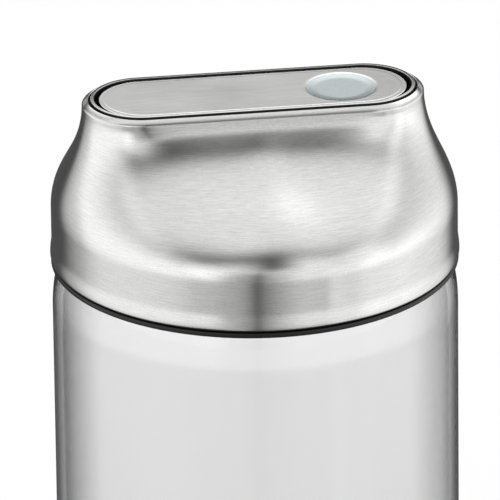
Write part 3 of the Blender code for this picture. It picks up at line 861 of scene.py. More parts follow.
@dataclass
class GlassJar:
    """The jar: heel, straight wall, rounded shoulder and neck."""

    plan: Plan
    wall: float = 0.0024
    base: float = 0.0045
    heel_r: float = 0.008
    foot_ring: float = 0.0066
    punt_ramp: float = 0.002
    punt_depth: float = 0.0012
    shoulder_height: float = 0.015
    shoulder_step: float = 0.0046
    lip_r: float = 0.0008
    shoulder_steps: int = 28

    def shoulder(self, radius: float) -> list[Vector]:
        """Draws the quarter ellipse from a wall up to its neck.

        Args:
            radius: the wall's radius.

        Returns:
            The ellipse's points.
        """
        neck = radius - self.shoulder_step
        points = []
        for step in range(self.shoulder_steps + 1):
            turn = math.pi / 2 * step / self.shoulder_steps
            rise = self.shoulder_height * (math.sin(turn) - 1)
            points.append(Vector((neck + self.shoulder_step * math.cos(turn), self.plan.seat_z + rise)))
        return points

    def profile(self) -> list[Vector]:
        """Draws the glass's section.

        Returns:
            Its points, up the outside and down the inside.
        """
        outer = self.plan.jar_r
        inner = outer - self.wall
        neck = outer - self.shoulder_step
        lip_z = self.plan.neck_top_z - self.lip_r
        heel_in = self.heel_r - self.wall
        punt = outer - self.heel_r - self.foot_ring - self.punt_ramp
        points = [Vector((0.0, self.punt_depth)), Vector((punt, self.punt_depth))]
        points.append(Vector((punt + self.punt_ramp, 0.0)))
        points += arc((outer - self.heel_r, self.heel_r), self.heel_r, -90, 0)
        points += self.shoulder(outer)
        points += arc((neck - self.lip_r, lip_z), self.lip_r, 0, 90)
        points += arc((neck - self.wall + self.lip_r, lip_z), self.lip_r, 90, 180)
        points += reversed(self.shoulder(inner))
        points += arc((inner - heel_in, self.base + heel_in), heel_in, 0, -90)
        points.append(Vector((0.0, self.base)))
        return points

    def build(self, glass: bpy.types.Material) -> None:
        """Builds the jar and hangs it on its body."""
        jar = to_object("jar_wall", turned(self.profile()))
        settle(jar, glass, Body.JAR, "jar_glass")


@dataclass
class SteelCover:
    """The drawn steel cover: beaded foot, skirt, shoulder, side that turns oval, and hem."""

    plan: Plan
    sheet: float = 0.0008
    deck: float = 0.0016
    top_handle: float = 0.0148
    shoulder_handle: float = 0.0102
    side_lead: float = 0.93
    easing_passes: int = 40
    easing_place: float = 0.6
    fullness: float = 0.0026
    fullness_spread: float = math.radians(13.0)
    hem_width: float = 0.0018
    hem_fall: float = 0.0009
    hem_round: float = 0.0014
    hem_edge_r: float = 0.0002
    hem_depth: float = 0.0021
    bead_height: float = 0.0052
    curl_inset: float = 0.0013
    wall_steps: int = 44
    skirt_steps: int = 8
    hem_steps: int = 14

    def __post_init__(self) -> None:
        """Works out the cover's levels and the directions of its lines."""
        self.skirt_top_z = self.plan.deck_top_z - self.deck
        self.wall_top_z = self.plan.crest_z - self.hem_round
        half = grown(self.plan.opening, self.hem_width)
        reach = half.x - half.y
        corner = math.atan2(half.y, reach)
        self.angles = []
        for base in (0.0, math.pi):
            for step in range(END_STEPS):
                turn = -math.pi / 2 + math.pi * step / END_STEPS
                end = (half.y * math.sin(turn), reach + half.y * math.cos(turn))
                self.angles.append(base + math.atan2(*end))
            for step in range(SIDE_STEPS):
                self.angles.append(base + corner + (math.pi - 2 * corner) * step / SIDE_STEPS)

    @staticmethod
    def reach(half: Vector, angle: float) -> float:
        """Measures how far a stadium lies from its centre in one direction.

        Args:
            half: half its length and half its width.
            angle: the direction.

        Returns:
            The distance.
        """
        straight = half.x - half.y
        across = abs(math.cos(angle))
        up = abs(math.sin(angle))
        if half.y * across <= straight * up:
            return half.y / up
        return straight * across + math.sqrt(max(half.y**2 - (straight * up) ** 2, 0.0))

    def ring(self, reach_of: Callable[[float], float], z: float) -> list[Vector]:
        """Draws a ring at a height from its reach in each direction."""
        return [Vector((reach_of(a) * math.cos(a), reach_of(a) * math.sin(a), z)) for a in self.angles]

    def circle(self, radius: float, z: float) -> list[Vector]:
        """Draws a round ring."""
        return self.ring(lambda angle: radius, z)

    def oval(self, half: Vector, z: float) -> list[Vector]:
        """Draws a ring along a stadium."""
        return self.ring(lambda angle: self.reach(half, angle), z)

    def side(self, share: float) -> list[Vector]:
        """Draws a ring of the side.

        Args:
            share: zero at the opening, one at the skirt.

        Returns:
            The ring.
        """
        half = grown(self.plan.opening, self.hem_width)
        blend = eased(share**self.side_lead)
        section = half.lerp(Vector((self.plan.jar_r, self.plan.jar_r)), blend)
        rest = 1 - share
        ease = math.sin(math.pi * share**self.easing_place)
        points = self.relaxed(self.oval(section, 0.0), round(self.easing_passes * ease))
        for point, angle in zip(points, self.angles):
            off_middle = math.acos(min(abs(math.sin(angle)), 1.0))
            fuller = self.fullness * math.exp(-((off_middle / self.fullness_spread) ** 2))
            point.z = (
                rest**3 * self.wall_top_z
                + 3 * rest**2 * share * (self.wall_top_z - self.top_handle)
                + 3 * rest * share**2 * (self.skirt_top_z + self.shoulder_handle + fuller)
                + share**3 * self.skirt_top_z
            )
        return points

    @staticmethod
    def relaxed(ring: list[Vector], passes: int) -> list[Vector]:
        """Softens the bend between a ring's straight sides and its round ends.

        Args:
            ring: the ring's points.
            passes: how often each point moves halfway towards its neighbours.

        Returns:
            The new ring, as long and as wide as before.
        """
        count = len(ring)
        soft = ring
        for _ in range(passes):
            soft = [(soft[i - 1] + 2 * soft[i] + soft[(i + 1) % count]) / 4 for i in range(count)]
        long = max(point.x for point in ring) / max(point.x for point in soft)
        wide = max(point.y for point in ring) / max(point.y for point in soft)
        return [Vector((point.x * long, point.y * wide, point.z)) for point in soft]

    def foot(self) -> Rings:
        """Draws the rolled foot, and the bead that runs out into the skirt.

        Returns:
            Its rings, from the foot up.
        """
        plan = self.plan
        rings = []
        for point in arc((plan.bead_r - self.sheet, plan.seat_z + self.sheet), self.sheet, -90, 0):
            rings.append(self.circle(point.x, point.y))
        proud = plan.bead_r - plan.jar_r
        for step in range(1, ROUND_STEPS + 1):
            share = step / ROUND_STEPS
            out = proud * (1 - eased(share))
            rise = self.sheet + (self.bead_height - self.sheet) * share
            rings.append(self.circle(plan.jar_r + out, plan.seat_z + rise))
        start = plan.seat_z + self.bead_height
        for step in range(1, self.skirt_steps):
            rise = (self.skirt_top_z - start) * step / self.skirt_steps
            rings.append(self.circle(plan.jar_r, start + rise))
        return rings

    def hem(self) -> Rings:
        """Draws the hem.

        Returns:
            Its rings, over the crest, down inside the opening and back along the fold.
        """
        opening = self.plan.opening
        inner_r = self.hem_edge_r
        rings = []
        corner_z = self.plan.crest_z - self.hem_fall
        for step in range(1, self.hem_steps + 1):
            share = step / self.hem_steps
            rest = 1 - share
            out = (1 - share * share) * self.hem_width + share * share * inner_r
            z = rest * rest * self.wall_top_z + 2 * rest * share * corner_z
            rings.append(self.oval(grown(opening, out), z + share * share * self.plan.crest_z))
        for point in arc((inner_r, self.plan.crest_z - inner_r), inner_r, 90, 180)[1:]:
            rings.append(self.oval(grown(opening, point.x), point.y))
        foot_z = self.plan.crest_z - self.hem_depth
        rings.append(self.oval(self.plan.opening, foot_z))
        rings.append(self.oval(grown(self.plan.opening, self.hem_width - self.sheet), foot_z))
        return rings

    def inner(self, rings: Rings, skip_below: int) -> Rings:
        """Moves rings inwards by the sheet's thickness, square to the surface.

        Args:
            rings: the outside's rings.
            skip_below: how many of them have no inside.

        Returns:
            The inside's rings, from the top down.
        """
        made = []
        for index in range(skip_below, len(rings) - 2):
            ring = []
            for place, point in enumerate(rings[index]):
                along = rings[index + 1][place] - rings[index - 1][place]
                around = rings[index][(place + 1) % len(self.angles)] - rings[index][place - 1]
                ring.append(point - around.cross(along).normalized() * self.sheet)
            made.append(ring)
        return list(reversed(made))

    def build(self, steel: bpy.types.Material) -> None:
        """Builds the cover and hangs it on the lid.

        Args:
            steel: its finish.
        """
        plan = self.plan
        foot = self.foot()
        wall = [self.side(1 - step / self.wall_steps) for step in range(self.wall_steps + 1)]
        outside = list(foot) + wall
        inside = self.inner(outside, 2 * ROUND_STEPS)
        curl_r = plan.jar_r - self.curl_inset
        curl_z = plan.seat_z + self.sheet
        curl = [
            self.circle(plan.jar_r - self.sheet, curl_z),
            self.circle(curl_r, curl_z),
            self.circle(curl_r, plan.seat_z),
        ]
        builder = bmesh.new()
        skin(builder, outside + list(self.hem()) + list(inside) + curl, closed=True)
        cover = to_object("lid_shell", builder)
        give_grain(cover, self.grain)
        give_uv(cover, self.around)
        settle(cover, steel, Body.LID, "lid_cover")

    @staticmethod
    def grain(point: Vector) -> Vector:
        """Places a point in the brushing, whose lines run round the lid at each height."""
        flat = point.xy.normalized() * GRAIN_R
        return Vector((flat.x, flat.y, point.z))

    @staticmethod
    def around(point: Vector, middle: Vector) -> tuple[float, float]:
        """Unwraps a point round the lid, keeping its face whole across the seam at the left.

        Args:
            point: the point.
            middle: the middle of its face.

        Returns:
            Its two coordinates.
        """
        turn = math.atan2(point.y, point.x)
        centre = math.atan2(middle.y, middle.x)
        turn += 2 * math.pi * round((centre - turn) / (2 * math.pi))
        return (turn / (2 * math.pi), point.z * UV_PER_METRE)


@dataclass
class LidCore:
    """The black core: foot ring, band behind the skirt, deck and plug."""

    plan: Plan
    sheet: float = 0.0008
    ring_proud: float = 0.0002
    ring_round: float = 0.0003
    ring_trim: float = 0.0002
    wall: float = 0.0016
    deck: float = 0.0016
    shoulder: float = 0.0031
    shoulder_inset: float = 0.0012
    plug_space: float = 0.002
    plug_wall: float = 0.0018
    plug_foot: float = 0.0018
    groove_depth: float = 0.0007
    groove_bottom: float = 0.004
    groove_height: float = 0.007
    ring_mouth: float = 0.0009
    curl_inset: float = 0.0013
    screw_hole_r: float = 0.0014
    edge: float = 0.00012

    def profile(self, plug_r: float) -> list[Vector]:
        """Draws the core's section.

        Args:
            plug_r: the plug's outer radius.

        Returns:
            The section's points.
        """
        plan = self.plan
        outer = plan.jar_r - self.sheet - GAP
        band_in = outer - self.wall
        ring = plan.jar_r + self.ring_proud
        foot = plan.ring_foot_z + self.ring_trim
        ring_top = plan.seat_z - GAP
        deck = plan.deck_top_z - self.deck
        groove = plan.seat_z + self.groove_bottom
        curl_top = plan.seat_z + self.sheet + GAP
        curl_r = plan.jar_r - self.curl_inset - GAP
        plug_in = plug_r - self.plug_wall
        bottom = plan.seat_z + self.plug_foot
        rounding = self.ring_round
        points = [
            (0.0, deck),
            (plug_in, deck),
            (plug_in, bottom),
            (plug_r, bottom),
            (plug_r, groove),
            (plug_r - self.groove_depth, groove),
            (plug_r - self.groove_depth, groove + self.groove_height),
            (plug_r, groove + self.groove_height),
            (plug_r, deck),
            (band_in, deck),
            (band_in, plan.seat_z + self.sheet),
            (band_in + self.ring_mouth, foot),
        ]
        section = [Vector(point) for point in points]
        section += arc((ring - rounding, foot + rounding), rounding, -90, 0)
        section += arc((ring - rounding, ring_top - rounding), rounding, 0, 90)
        rest = [
            (curl_r, ring_top),
            (curl_r, curl_top),
            (outer, curl_top + GAP),
            (outer, plan.deck_top_z - self.shoulder),
            (outer - self.shoulder_inset, plan.deck_top_z),
            (0.0, plan.deck_top_z),
        ]
        return section + [Vector(point) for point in rest]

    def build(self, black: bpy.types.Material, jar: GlassJar, frame: "PourFrame") -> None:
        """Builds the core, with its duct and screw holes.

        Args:
            black: its finish.
            jar: the jar whose mouth the plug fits.
            frame: the pour frame whose duct and screws come through.
        """
        plan = self.plan
        mouth = plan.jar_r - jar.shoulder_step - jar.wall
        core = to_object("lid_core_moulding", turned(self.profile(mouth - self.plug_space)))
        low = plan.deck_top_z - self.deck - OVERRUN
        high = plan.deck_top_z + OVERRUN
        hole = stadium(grown(frame.duct, GAP), frame.duct_x)
        cut(core, prism(hole, low, high))
        for x, y in frame.boss_places():
            cut(core, rod(self.screw_hole_r, (x, y, low), (x, y, high)))
        soften(core, self.edge)
        settle(core, black, Body.LID, "lid_core")


@dataclass
class JarSeal:
    """The silicone ring in the plug's groove, with three wiping lips."""

    groove_r: float = 0.0452
    body: float = 0.0011
    lips: int = 3
    lip: float = 0.0008

    def build(self, silicone: bpy.types.Material) -> None:
        """Builds the seal inside its node's box.

        Args:
            silicone: its finish.
        """
        low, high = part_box("jar_seal")
        body_r = self.groove_r + self.body
        lip_r = self.lip / 4
        pitch = (high.z - low.z) / self.lips
        points = [Vector((self.groove_r, low.z)), Vector((body_r, low.z))]
        for number in range(self.lips):
            lip_z = low.z + pitch * (number + 0.5)
            points.append(Vector((body_r, lip_z - self.lip / 2)))
            points.append(Vector((high.x - lip_r, lip_z)))
            points += arc((high.x - lip_r, lip_z + lip_r), lip_r, -90, 90)
            points.append(Vector((body_r, lip_z + self.lip)))
        points += [Vector((body_r, high.z)), Vector((self.groove_r, high.z))]
        seal = to_object("jar_seal_ring", turned(points))
        settle(seal, silicone, Body.LID, "jar_seal")


@dataclass
class TrimRing:
    """The ring between the cover's hem and the flap: bright steel on its flatter faces and black on its
    steep sides.
    """

    plan: Plan
    width: float = 0.001
    rounding: float = 0.0002
    slope: float = 0.00002
    side_slope: float = 0.5

    def build(self, bright: bpy.types.Material, black: bpy.types.Material) -> None:
        """Builds the ring and hangs it on the lid.

        Args:
            bright: the finish of its top.
            black: the finish of its steep sides.
        """
        plan = self.plan
        top = plan.trim_top_z
        small = self.rounding / 2
        section = [Vector((0.0, plan.trim_foot_z))]
        section += arc((-small, top - self.slope - small), small, 0, 75)
        section += arc((self.rounding - self.width, top - self.rounding), self.rounding, 75, 180)
        section.append(Vector((-self.width, plan.trim_foot_z)))
        band = to_object("trim_band", stadium_band(plan.trim_out, section))
        settle(band, bright, Body.LID, "trim_ring")
        # Faces that slope less than side_slope keep the bright finish, and steeper faces get the black one
        band.data.materials.append(black)
        for face in band.data.polygons:
            face.material_index = int(abs(face.normal.z) < self.side_slope)


@dataclass
class PourFrame:
    """The black frame under the opening, copied from its node with rounded edges."""

    plan: Plan
    wall: float = 0.001
    duct_end_inset: float = 0.0045
    duct_side_inset: float = 0.004
    edge: float = 0.00012

    def __post_init__(self) -> None:
        """Works out the duct and the bosses from the model's nodes."""
        self.duct_x = middle("flap_seal").x
        frame_in = grown(self.plan.trim_out, -self.wall)
        half_width = frame_in.y - self.duct_side_inset
        self.duct = Vector((self.duct_x + frame_in.x - self.duct_end_inset, half_width))

    @staticmethod
    def boss_places() -> list[tuple[float, float]]:
        """Finds the middles of the frame's screws."""
        places = [middle(f"frame_screw_{number}") for number in FRAME_SCREWS]
        return [(place.x, place.y) for place in places]

    def build(self, frame: dict[str, Any], black: bpy.types.Material) -> None:
        """Copies the node's mesh, merges it and rounds its edges."""
        moulding = refined(frame, "pour_frame", "frame_moulding", self.edge)
        settle(moulding, black, Body.LID, "pour_frame")


@dataclass
class Flap:
    """The rocking flap: steel plate with its dimple, black carrier, seal and pins."""

    plan: Plan
    sheet: float = 0.0008
    edge_r: float = 0.0002
    dimple_side_inset: float = 0.0025
    dimple_end_inset: float = 0.0176
    dimple_depth: float = 0.00045
    dimple_flat: float = 0.66
    dimple_rings: int = 24
    border_inset: float = 0.0014
    border_width: float = 0.00012
    border_drop: float = 0.00003
    flat_margin: float = 0.0001
    side_steps: int = 24
    blasted_share: float = 0.9
    carrier_edge: float = 0.00012
    seal_width: float = 0.0027
    pin_edge: float = 0.0002

    def __post_init__(self) -> None:
        """Places the dimple."""
        self.dimple_x = self.plan.flap_out.x - self.dimple_end_inset
        self.dimple_r = self.plan.flap_out.y - self.dimple_side_inset

    def outline(self, half: Vector) -> list[Vector]:
        """Outlines the plate, with its straight sides divided.

        Args:
            half: half its length and half its width.

        Returns:
            The outline's points.
        """
        corners = stadium(half)
        points = []
        for index, corner in enumerate(corners):
            points.append(corner)
            if index % (END_STEPS + 1) == END_STEPS:
                after = corners[(index + 1) % len(corners)]
                shares = [step / self.side_steps for step in range(1, self.side_steps)]
                points += [corner.lerp(after, share) for share in shares]
        return points

    def level(self, inset: float, z: float) -> list[Vector]:
        """Draws a ring of the plate, set in from its edge."""
        return lifted(self.outline(grown(self.plan.flap_out, -inset)), z)

    def dish(self, top_z: float) -> Rings:
        """Draws the dimple.

        Args:
            top_z: the level of the plate's face.

        Returns:
            The dimple's rings, from its middle outwards.
        """
        rings = []
        for step in range(1, self.dimple_rings + 1):
            share = step / self.dimple_rings
            climb = max(share - self.dimple_flat, 0.0) / (1 - self.dimple_flat)
            z = top_z - self.dimple_depth * (1 - eased(climb))
            rings.append(self.press_ring(share, z))
        return rings

    def press_ring(self, share: float, z: float) -> list[Vector]:
        """Draws one ring round the dimple's middle.

        Args:
            share: its radius, as a share of the dimple's.
            z: its level.

        Returns:
            The ring.
        """
        ring = []
        for point in self.outline(self.plan.flap_out):
            away = Vector((point.x - self.dimple_x, point.y)).normalized()
            place = away * self.dimple_r * share
            ring.append(Vector((self.dimple_x + place.x, place.y, z)))
        return ring

    def build_plate(self, steel: bpy.types.Material, blasted: bpy.types.Material) -> None:
        """Builds the plate as a shallow tray turned over.

        Args:
            steel: the plate's finish.
            blasted: the finish of its sunk finger press.
        """
        top = self.plan.flap_top_z
        under = top - self.sheet
        rings = list(self.dish(top))
        rings.append(self.press_ring(1 + self.flat_margin / self.dimple_r, top))
        rings.append(self.level(self.border_inset + self.flat_margin, top))
        rings.append(self.level(self.border_inset, top))
        low = top - self.border_drop
        step_foot = self.border_inset - self.border_width
        for inset in (step_foot, step_foot - self.flat_margin, self.edge_r + self.flat_margin):
            rings.append(self.level(inset, low))
        for step in range(ROUND_STEPS + 1):
            turn = math.pi / 2 * step / ROUND_STEPS
            inset = self.edge_r * (1 - math.sin(turn))
            drop = self.border_drop + (self.edge_r - self.border_drop) * (1 - math.cos(turn))
            rings.append(self.level(inset, top - drop))
        foot = self.plan.flap_foot_z
        rings.append(self.level(0.0, foot))
        rings.append(self.level(self.sheet, foot))
        rings.append(self.level(self.sheet, under))
        rings += reversed(self.dish(under))
        builder = bmesh.new()
        skin(builder, rings)
        plate = to_object("flap_top", builder)
        give_grain(plate, lambda point: Vector((point.x, point.z, point.y)))
        give_uv(plate, lambda point, middle: (point.x * UV_PER_METRE, point.y * UV_PER_METRE))
        settle(plate, steel, Body.FLAP, "flap_plate")
        plate.data.materials.append(blasted)
        press = Vector((self.dimple_x, 0.0))
        for face in plate.data.polygons:
            near = (face.center.xy - press).length < self.dimple_r * self.blasted_share
            face.material_index = int(near and face.normal.z > 0)

    def build_seal(self, silicone: bpy.types.Material) -> None:
        """Builds the soft ring that closes on the duct.

        Args:
            silicone: its finish.
        """
        low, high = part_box("flap_seal")
        outer = Vector(((high.x - low.x) / 2, high.y))
        width = self.seal_width
        rounding = width / 6
        section = [Vector((0.0, high.z)), Vector((-width, high.z))]
        section += arc((rounding - width, low.z + rounding), rounding, 180, 270)
        section += arc((-rounding, low.z + rounding), rounding, 270, 360)
        seal = to_object("flap_seal_ring", stadium_band(outer, section, middle("flap_seal").x))
        settle(seal, silicone, Body.FLAP, "flap_seal")

    def build_pins(self, bright: bpy.types.Material) -> None:
        """Builds the two pins that the flap rocks on, with rounded ends.

        Args:
            bright: their finish.
        """
        for name, node in (("front_pin", "hinge_pin_front"), ("back_pin", "hinge_pin_back")):
            low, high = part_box(node)
            x, _, z = middle(node)
            builder = rod((high.x - low.x) / 2, (x, low.y, z), (x, high.y, z))
            round_edges(builder, self.pin_edge, math.radians(60))
            settle(to_object(name, builder), bright, Body.FLAP, node)

    def build(self, frame: dict[str, Any], finishes: dict[Slot, bpy.types.Material]) -> None:
        """Builds every piece of the flap.

        Args:
            frame: what the frame's loader returned.
            finishes: the finishes by their slot.
        """
        self.build_plate(finishes[Slot.BRUSHED], BlastedStainless("blasted_stainless").build())
        carrier = refined(frame, "flap_carrier", "flap_moulding", self.carrier_edge)
        settle(carrier, finishes[Slot.BLACK], Body.FLAP, "flap_carrier")
        self.build_seal(finishes[Slot.SILICONE])
        self.build_pins(finishes[Slot.BRIGHT])


@dataclass
class Fasteners:
    """The gasket under the frame, its four screws, and the leaf spring with its own screw."""

    screw_r: float = 0.0011
    head_height: float = 0.0014
    head_r: float = 0.0024
    # How wide the pan head is at its heights, as shares of its radius and height
    pan: tuple[tuple[float, float], ...] = ((1.0, 0.0), (1.0, 0.45), (0.93, 0.75), (0.7, 1.0))
    recess_r: float = 0.0009
    recess_depth: float = 0.0008
    leaf_edge: float = 0.00008
    gasket_width: float = 0.0028

    def screw(self, head: Vector, direction: Vector, length: float) -> bmesh.types.BMesh:
        """Turns a pan head screw.

        Args:
            head: the middle of its head's underside.
            direction: the way it points.
            length: its length under the head.

        Returns:
            The screw's mesh.
        """
        top = self.head_height
        points = [
            (0.0, -length),
            (self.screw_r / 2, -length),
            (self.screw_r, self.screw_r - length),
            (self.screw_r, 0.0),
            *((self.head_r * wide, top * high) for wide, high in self.pan),
            (self.recess_r, top),
            (self.recess_r / 2, top - self.recess_depth),
            (0.0, top - self.recess_depth),
        ]
        builder = turned([Vector(point) for point in points], ROD_STEPS)
        turn = (-direction).to_track_quat("Z", "Y").to_matrix().to_4x4()
        bmesh.ops.transform(builder, matrix=Matrix.Translation(head) @ turn, verts=builder.verts)
        return builder

    def build(self, frame: dict[str, Any], finishes: dict[Slot, bpy.types.Material]) -> None:
        """Builds the fasteners and the gasket.

        Args:
            frame: what the frame's loader returned.
            finishes: the finishes by their slot.
        """
        bright = finishes[Slot.BRIGHT]
        for number in FRAME_SCREWS:
            node = f"frame_screw_{number}"
            low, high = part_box(node)
            head = Vector((*middle(node).xy, low.z + self.head_height))
            builder = self.screw(head, Vector((0, 0, 1)), high.z - head.z)
            settle(to_object(f"screw_{number}", builder), bright, Body.LID, node)
        low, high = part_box("spring_screw")
        head = Vector((high.x - self.head_height, *middle("spring_screw").yz))
        builder = self.screw(head, Vector((-1, 0, 0)), head.x - low.x)
        settle(to_object("leaf_screw", builder), bright, Body.LID, "spring_screw")
        leaf = refined(frame, "detent_spring", "leaf_spring", self.leaf_edge)
        settle(leaf, bright, Body.LID, "detent_spring")
        self.build_gasket(finishes[Slot.SILICONE])

    def build_gasket(self, silicone: bpy.types.Material) -> None:
        """Builds the flat gasket between the duct's foot and the core.

        Args:
            silicone: its finish.
        """
        low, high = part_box("duct_gasket")
        outer = Vector(((high.x - low.x) / 2, high.y))
        width = self.gasket_width
        rounding = (high.z - low.z) / 4
        section = arc((-rounding, high.z - rounding), rounding, 0, 90)
        section += arc((rounding - width, high.z - rounding), rounding, 90, 180)
        section += arc((rounding - width, low.z + rounding), rounding, 180, 270)
        section += arc((-rounding, low.z + rounding), rounding, 270, 360)
        gasket = to_object("gasket_ring", stadium_band(outer, section, middle("duct_gasket").x))
        settle(gasket, silicone, Body.LID, "duct_gasket")


@dataclass
class Studio:
    """The pale floor, the room that the metal mirrors, the lamps and the camera."""

    plan: Plan
    floor_half: float = 6.0
    floor_white: float = 0.8
    room_light: float = 0.8
    falloff: float = 0.12
    falloff_from: float = math.radians(7.0)
    falloff_to: float = math.radians(22.0)
    relit_from: float = math.radians(42.0)
    relit_to: float = math.radians(62.0)
    camera_yaw: float = math.radians(-7.68)
    camera_rise: float = math.radians(23.54)
    camera_roll: float = math.radians(0.68)
    camera_distance: float = 2.68
    lens_mm: float = 718.0
    sensor_mm: float = 36.0
    picture_px: float = 500.0
    aim_px: tuple[float, float] = (254.8, 249.9)

    def build_floor(self) -> None:
        """Lays a wide plain floor that the camera, and the glass, see as white paper."""
        builder = bmesh.new()
        bmesh.ops.create_grid(builder, x_segments=2, y_segments=2, size=self.floor_half)
        floor = to_object("floor", builder)
        paper = Finish("matt_white_paper", "#FFFFFF", 0.9)
        even = {"Base Color": linear(paper.colour), "Roughness": paper.roughness}
        material, shader, place = paper.start(even | {"Specular IOR Level": 0.1})
        tree = material.node_tree
        seen, path = self.seen(tree)
        share = add_node(tree, "Math", {"operation": "MULTIPLY", 0: seen, 1: self.floor_white})
        either = {0: path.outputs["Is Camera Ray"], 1: self.seen_through(tree, place)}
        level = add_node(tree, "Math", {"operation": "MAXIMUM"} | either)
        white = add_node(tree, "Emission", {"Color": WHITE, "Strength": level})
        mixed = add_node(tree, "MixShader", {0: share, 1: shader, 2: white})
        fill(tree.nodes["Material Output"], {"Surface": mixed})
        floor.data.materials.append(material)
        floor.visible_glossy = False

    @staticmethod
    def seen(tree: bpy.types.NodeTree) -> tuple[bpy.types.Node, bpy.types.Node]:
        """Tells what the camera sees, directly or through glass.

        Args:
            tree: the node tree.

        Returns:
            A node that gives one where it is seen so, and the light path.
        """
        path = add_node(tree, "LightPath", {})
        rays = {0: path.outputs["Is Camera Ray"], 1: path.outputs["Is Transmission Ray"]}
        return add_node(tree, "Math", {"operation": "MAXIMUM"} | rays), path

    def ahead(self, tree: bpy.types.NodeTree, place: bpy.types.NodeSocket) -> bpy.types.Node:
        """Turns a place or a direction so that the camera looks along Y."""
        turn = {"rotation_type": "Z_AXIS", "Angle": -self.camera_yaw, "Vector": place}
        return add_node(tree, "VectorRotate", turn)

    def seen_through(self, tree: bpy.types.NodeTree, place: bpy.types.NodeSocket) -> bpy.types.Node:
        """Shades the paper that shows through the glass.

        It is lit evenly behind the jar and falls off a little farther aside.

        Args:
            tree: the paper's node tree.
            place: the place on the paper.

        Returns:
            A node that gives the paper's level at each point.
        """
        split = add_node(tree, "SeparateXYZ", {0: self.ahead(tree, place)})
        bearing = {"operation": "ARCTAN2", 0: split.outputs["X"], 1: split.outputs["Y"]}
        turn = add_node(tree, "Math", bearing)
        aside = add_node(tree, "Math", {"operation": "ABSOLUTE", 0: turn})
        falling = {"From Min": self.falloff_from, "From Max": self.falloff_to, "To Max": self.falloff}
        dim = add_node(tree, "MapRange", SMOOTH | falling | {"Value": aside})
        rising = {"From Min": self.relit_from, "From Max": self.relit_to, "To Min": 1.0, "To Max": 0.0}
        lit = add_node(tree, "MapRange", SMOOTH | rising | {"Value": aside})
        lost = add_node(tree, "Math", {"operation": "MULTIPLY", 0: dim, 1: lit})
        return add_node(tree, "Math", {"operation": "SUBTRACT", 0: 1.0, 1: lost})

    def build_world(self) -> None:
        """Lights the world: white to the camera, soft panels to what mirrors it."""
        world = bpy.data.worlds.new("studio")
        bpy.context.scene.world = world
        world.use_nodes = True
        tree = world.node_tree
        tree.nodes.clear()
        direction = add_node(tree, "TexCoord", {}).outputs["Generated"]
        room = self.ahead(tree, direction)
        level: Any = ROOM_LEVEL
        for panel in PANELS:
            lit = {0: self.shape(tree, room, panel), 1: panel.level, 2: level}
            level = add_node(tree, "Math", {"operation": "MULTIPLY_ADD"} | lit)
        for card in CARDS:
            dimmed = {0: self.shape(tree, room, card), 1: -card.level, 2: 1.0}
            kept = add_node(tree, "Math", {"operation": "MULTIPLY_ADD"} | dimmed)
            level = add_node(tree, "Math", {"operation": "MULTIPLY", 0: kept, 1: level})
        plain, white, mirrored = (
            add_node(tree, "Background", {"Color": WHITE, "Strength": strength})
            for strength in (self.room_light, 1.0, level)
        )
        seen, path = self.seen(tree)
        first = add_node(tree, "MixShader", {0: seen, 1: plain, 2: white})
        second = add_node(tree, "MixShader", {0: path.outputs["Is Glossy Ray"], 1: first, 2: mirrored})
        add_node(tree, "OutputWorld", {"Surface": second})

    @staticmethod
    def shape(tree: bpy.types.NodeTree, direction: bpy.types.Node, panel: "SoftPanel") -> bpy.types.Node:
        """Draws a panel on the room.

        Args:
            tree: the world's node tree.
            direction: the direction looked in.
            panel: the panel.

        Returns:
            A node that gives one inside the panel and zero outside its soft edge.
        """
        towards, across, upwards = (
            add_node(tree, "VectorMath", DOT_PRODUCT | {0: direction, 1: axis}).outputs["Value"]
            for axis in panel.axes()
        )
        inside = add_node(tree, "Math", {"operation": "GREATER_THAN", 0: towards, 1: LEAST_FACING})
        depth = add_node(tree, "Math", {"operation": "MAXIMUM", 0: towards, 1: LEAST_FACING})
        for offset, half in ((across, panel.half_width), (upwards, panel.half_height)):
            away = add_node(tree, "Math", {"operation": "ABSOLUTE", 0: offset})
            slant = add_node(tree, "Math", {"operation": "DIVIDE", 0: away, 1: depth})
            edge = {"From Min": half - panel.edge, "From Max": half + panel.edge}
            fade = SMOOTH | edge | {"To Min": 1.0, "To Max": 0.0, "Value": slant}
            part = add_node(tree, "MapRange", fade)
            inside = add_node(tree, "Math", {"operation": "MULTIPLY", 0: inside, 1: part})
        return inside

    def build_lamps(self) -> None:
        """Hangs two wide soft lamps, for shade and a soft shadow on the floor."""
        middle = Vector((0.0, 0.0, self.plan.seat_z))
        for name, place, size, power in LAMPS:
            lamp = bpy.data.lights.new(name, "AREA")
            lamp.shape = "SQUARE"
            lamp.size = size
            lamp.energy = power
            holder = bpy.data.objects.new(name, lamp)
            holder.location = place
            holder.rotation_mode = "QUATERNION"
            holder.rotation_quaternion = (middle - holder.location).to_track_quat("-Z", "Y")
            holder.visible_camera = False
            holder.visible_glossy = False
            bpy.context.scene.collection.objects.link(holder)

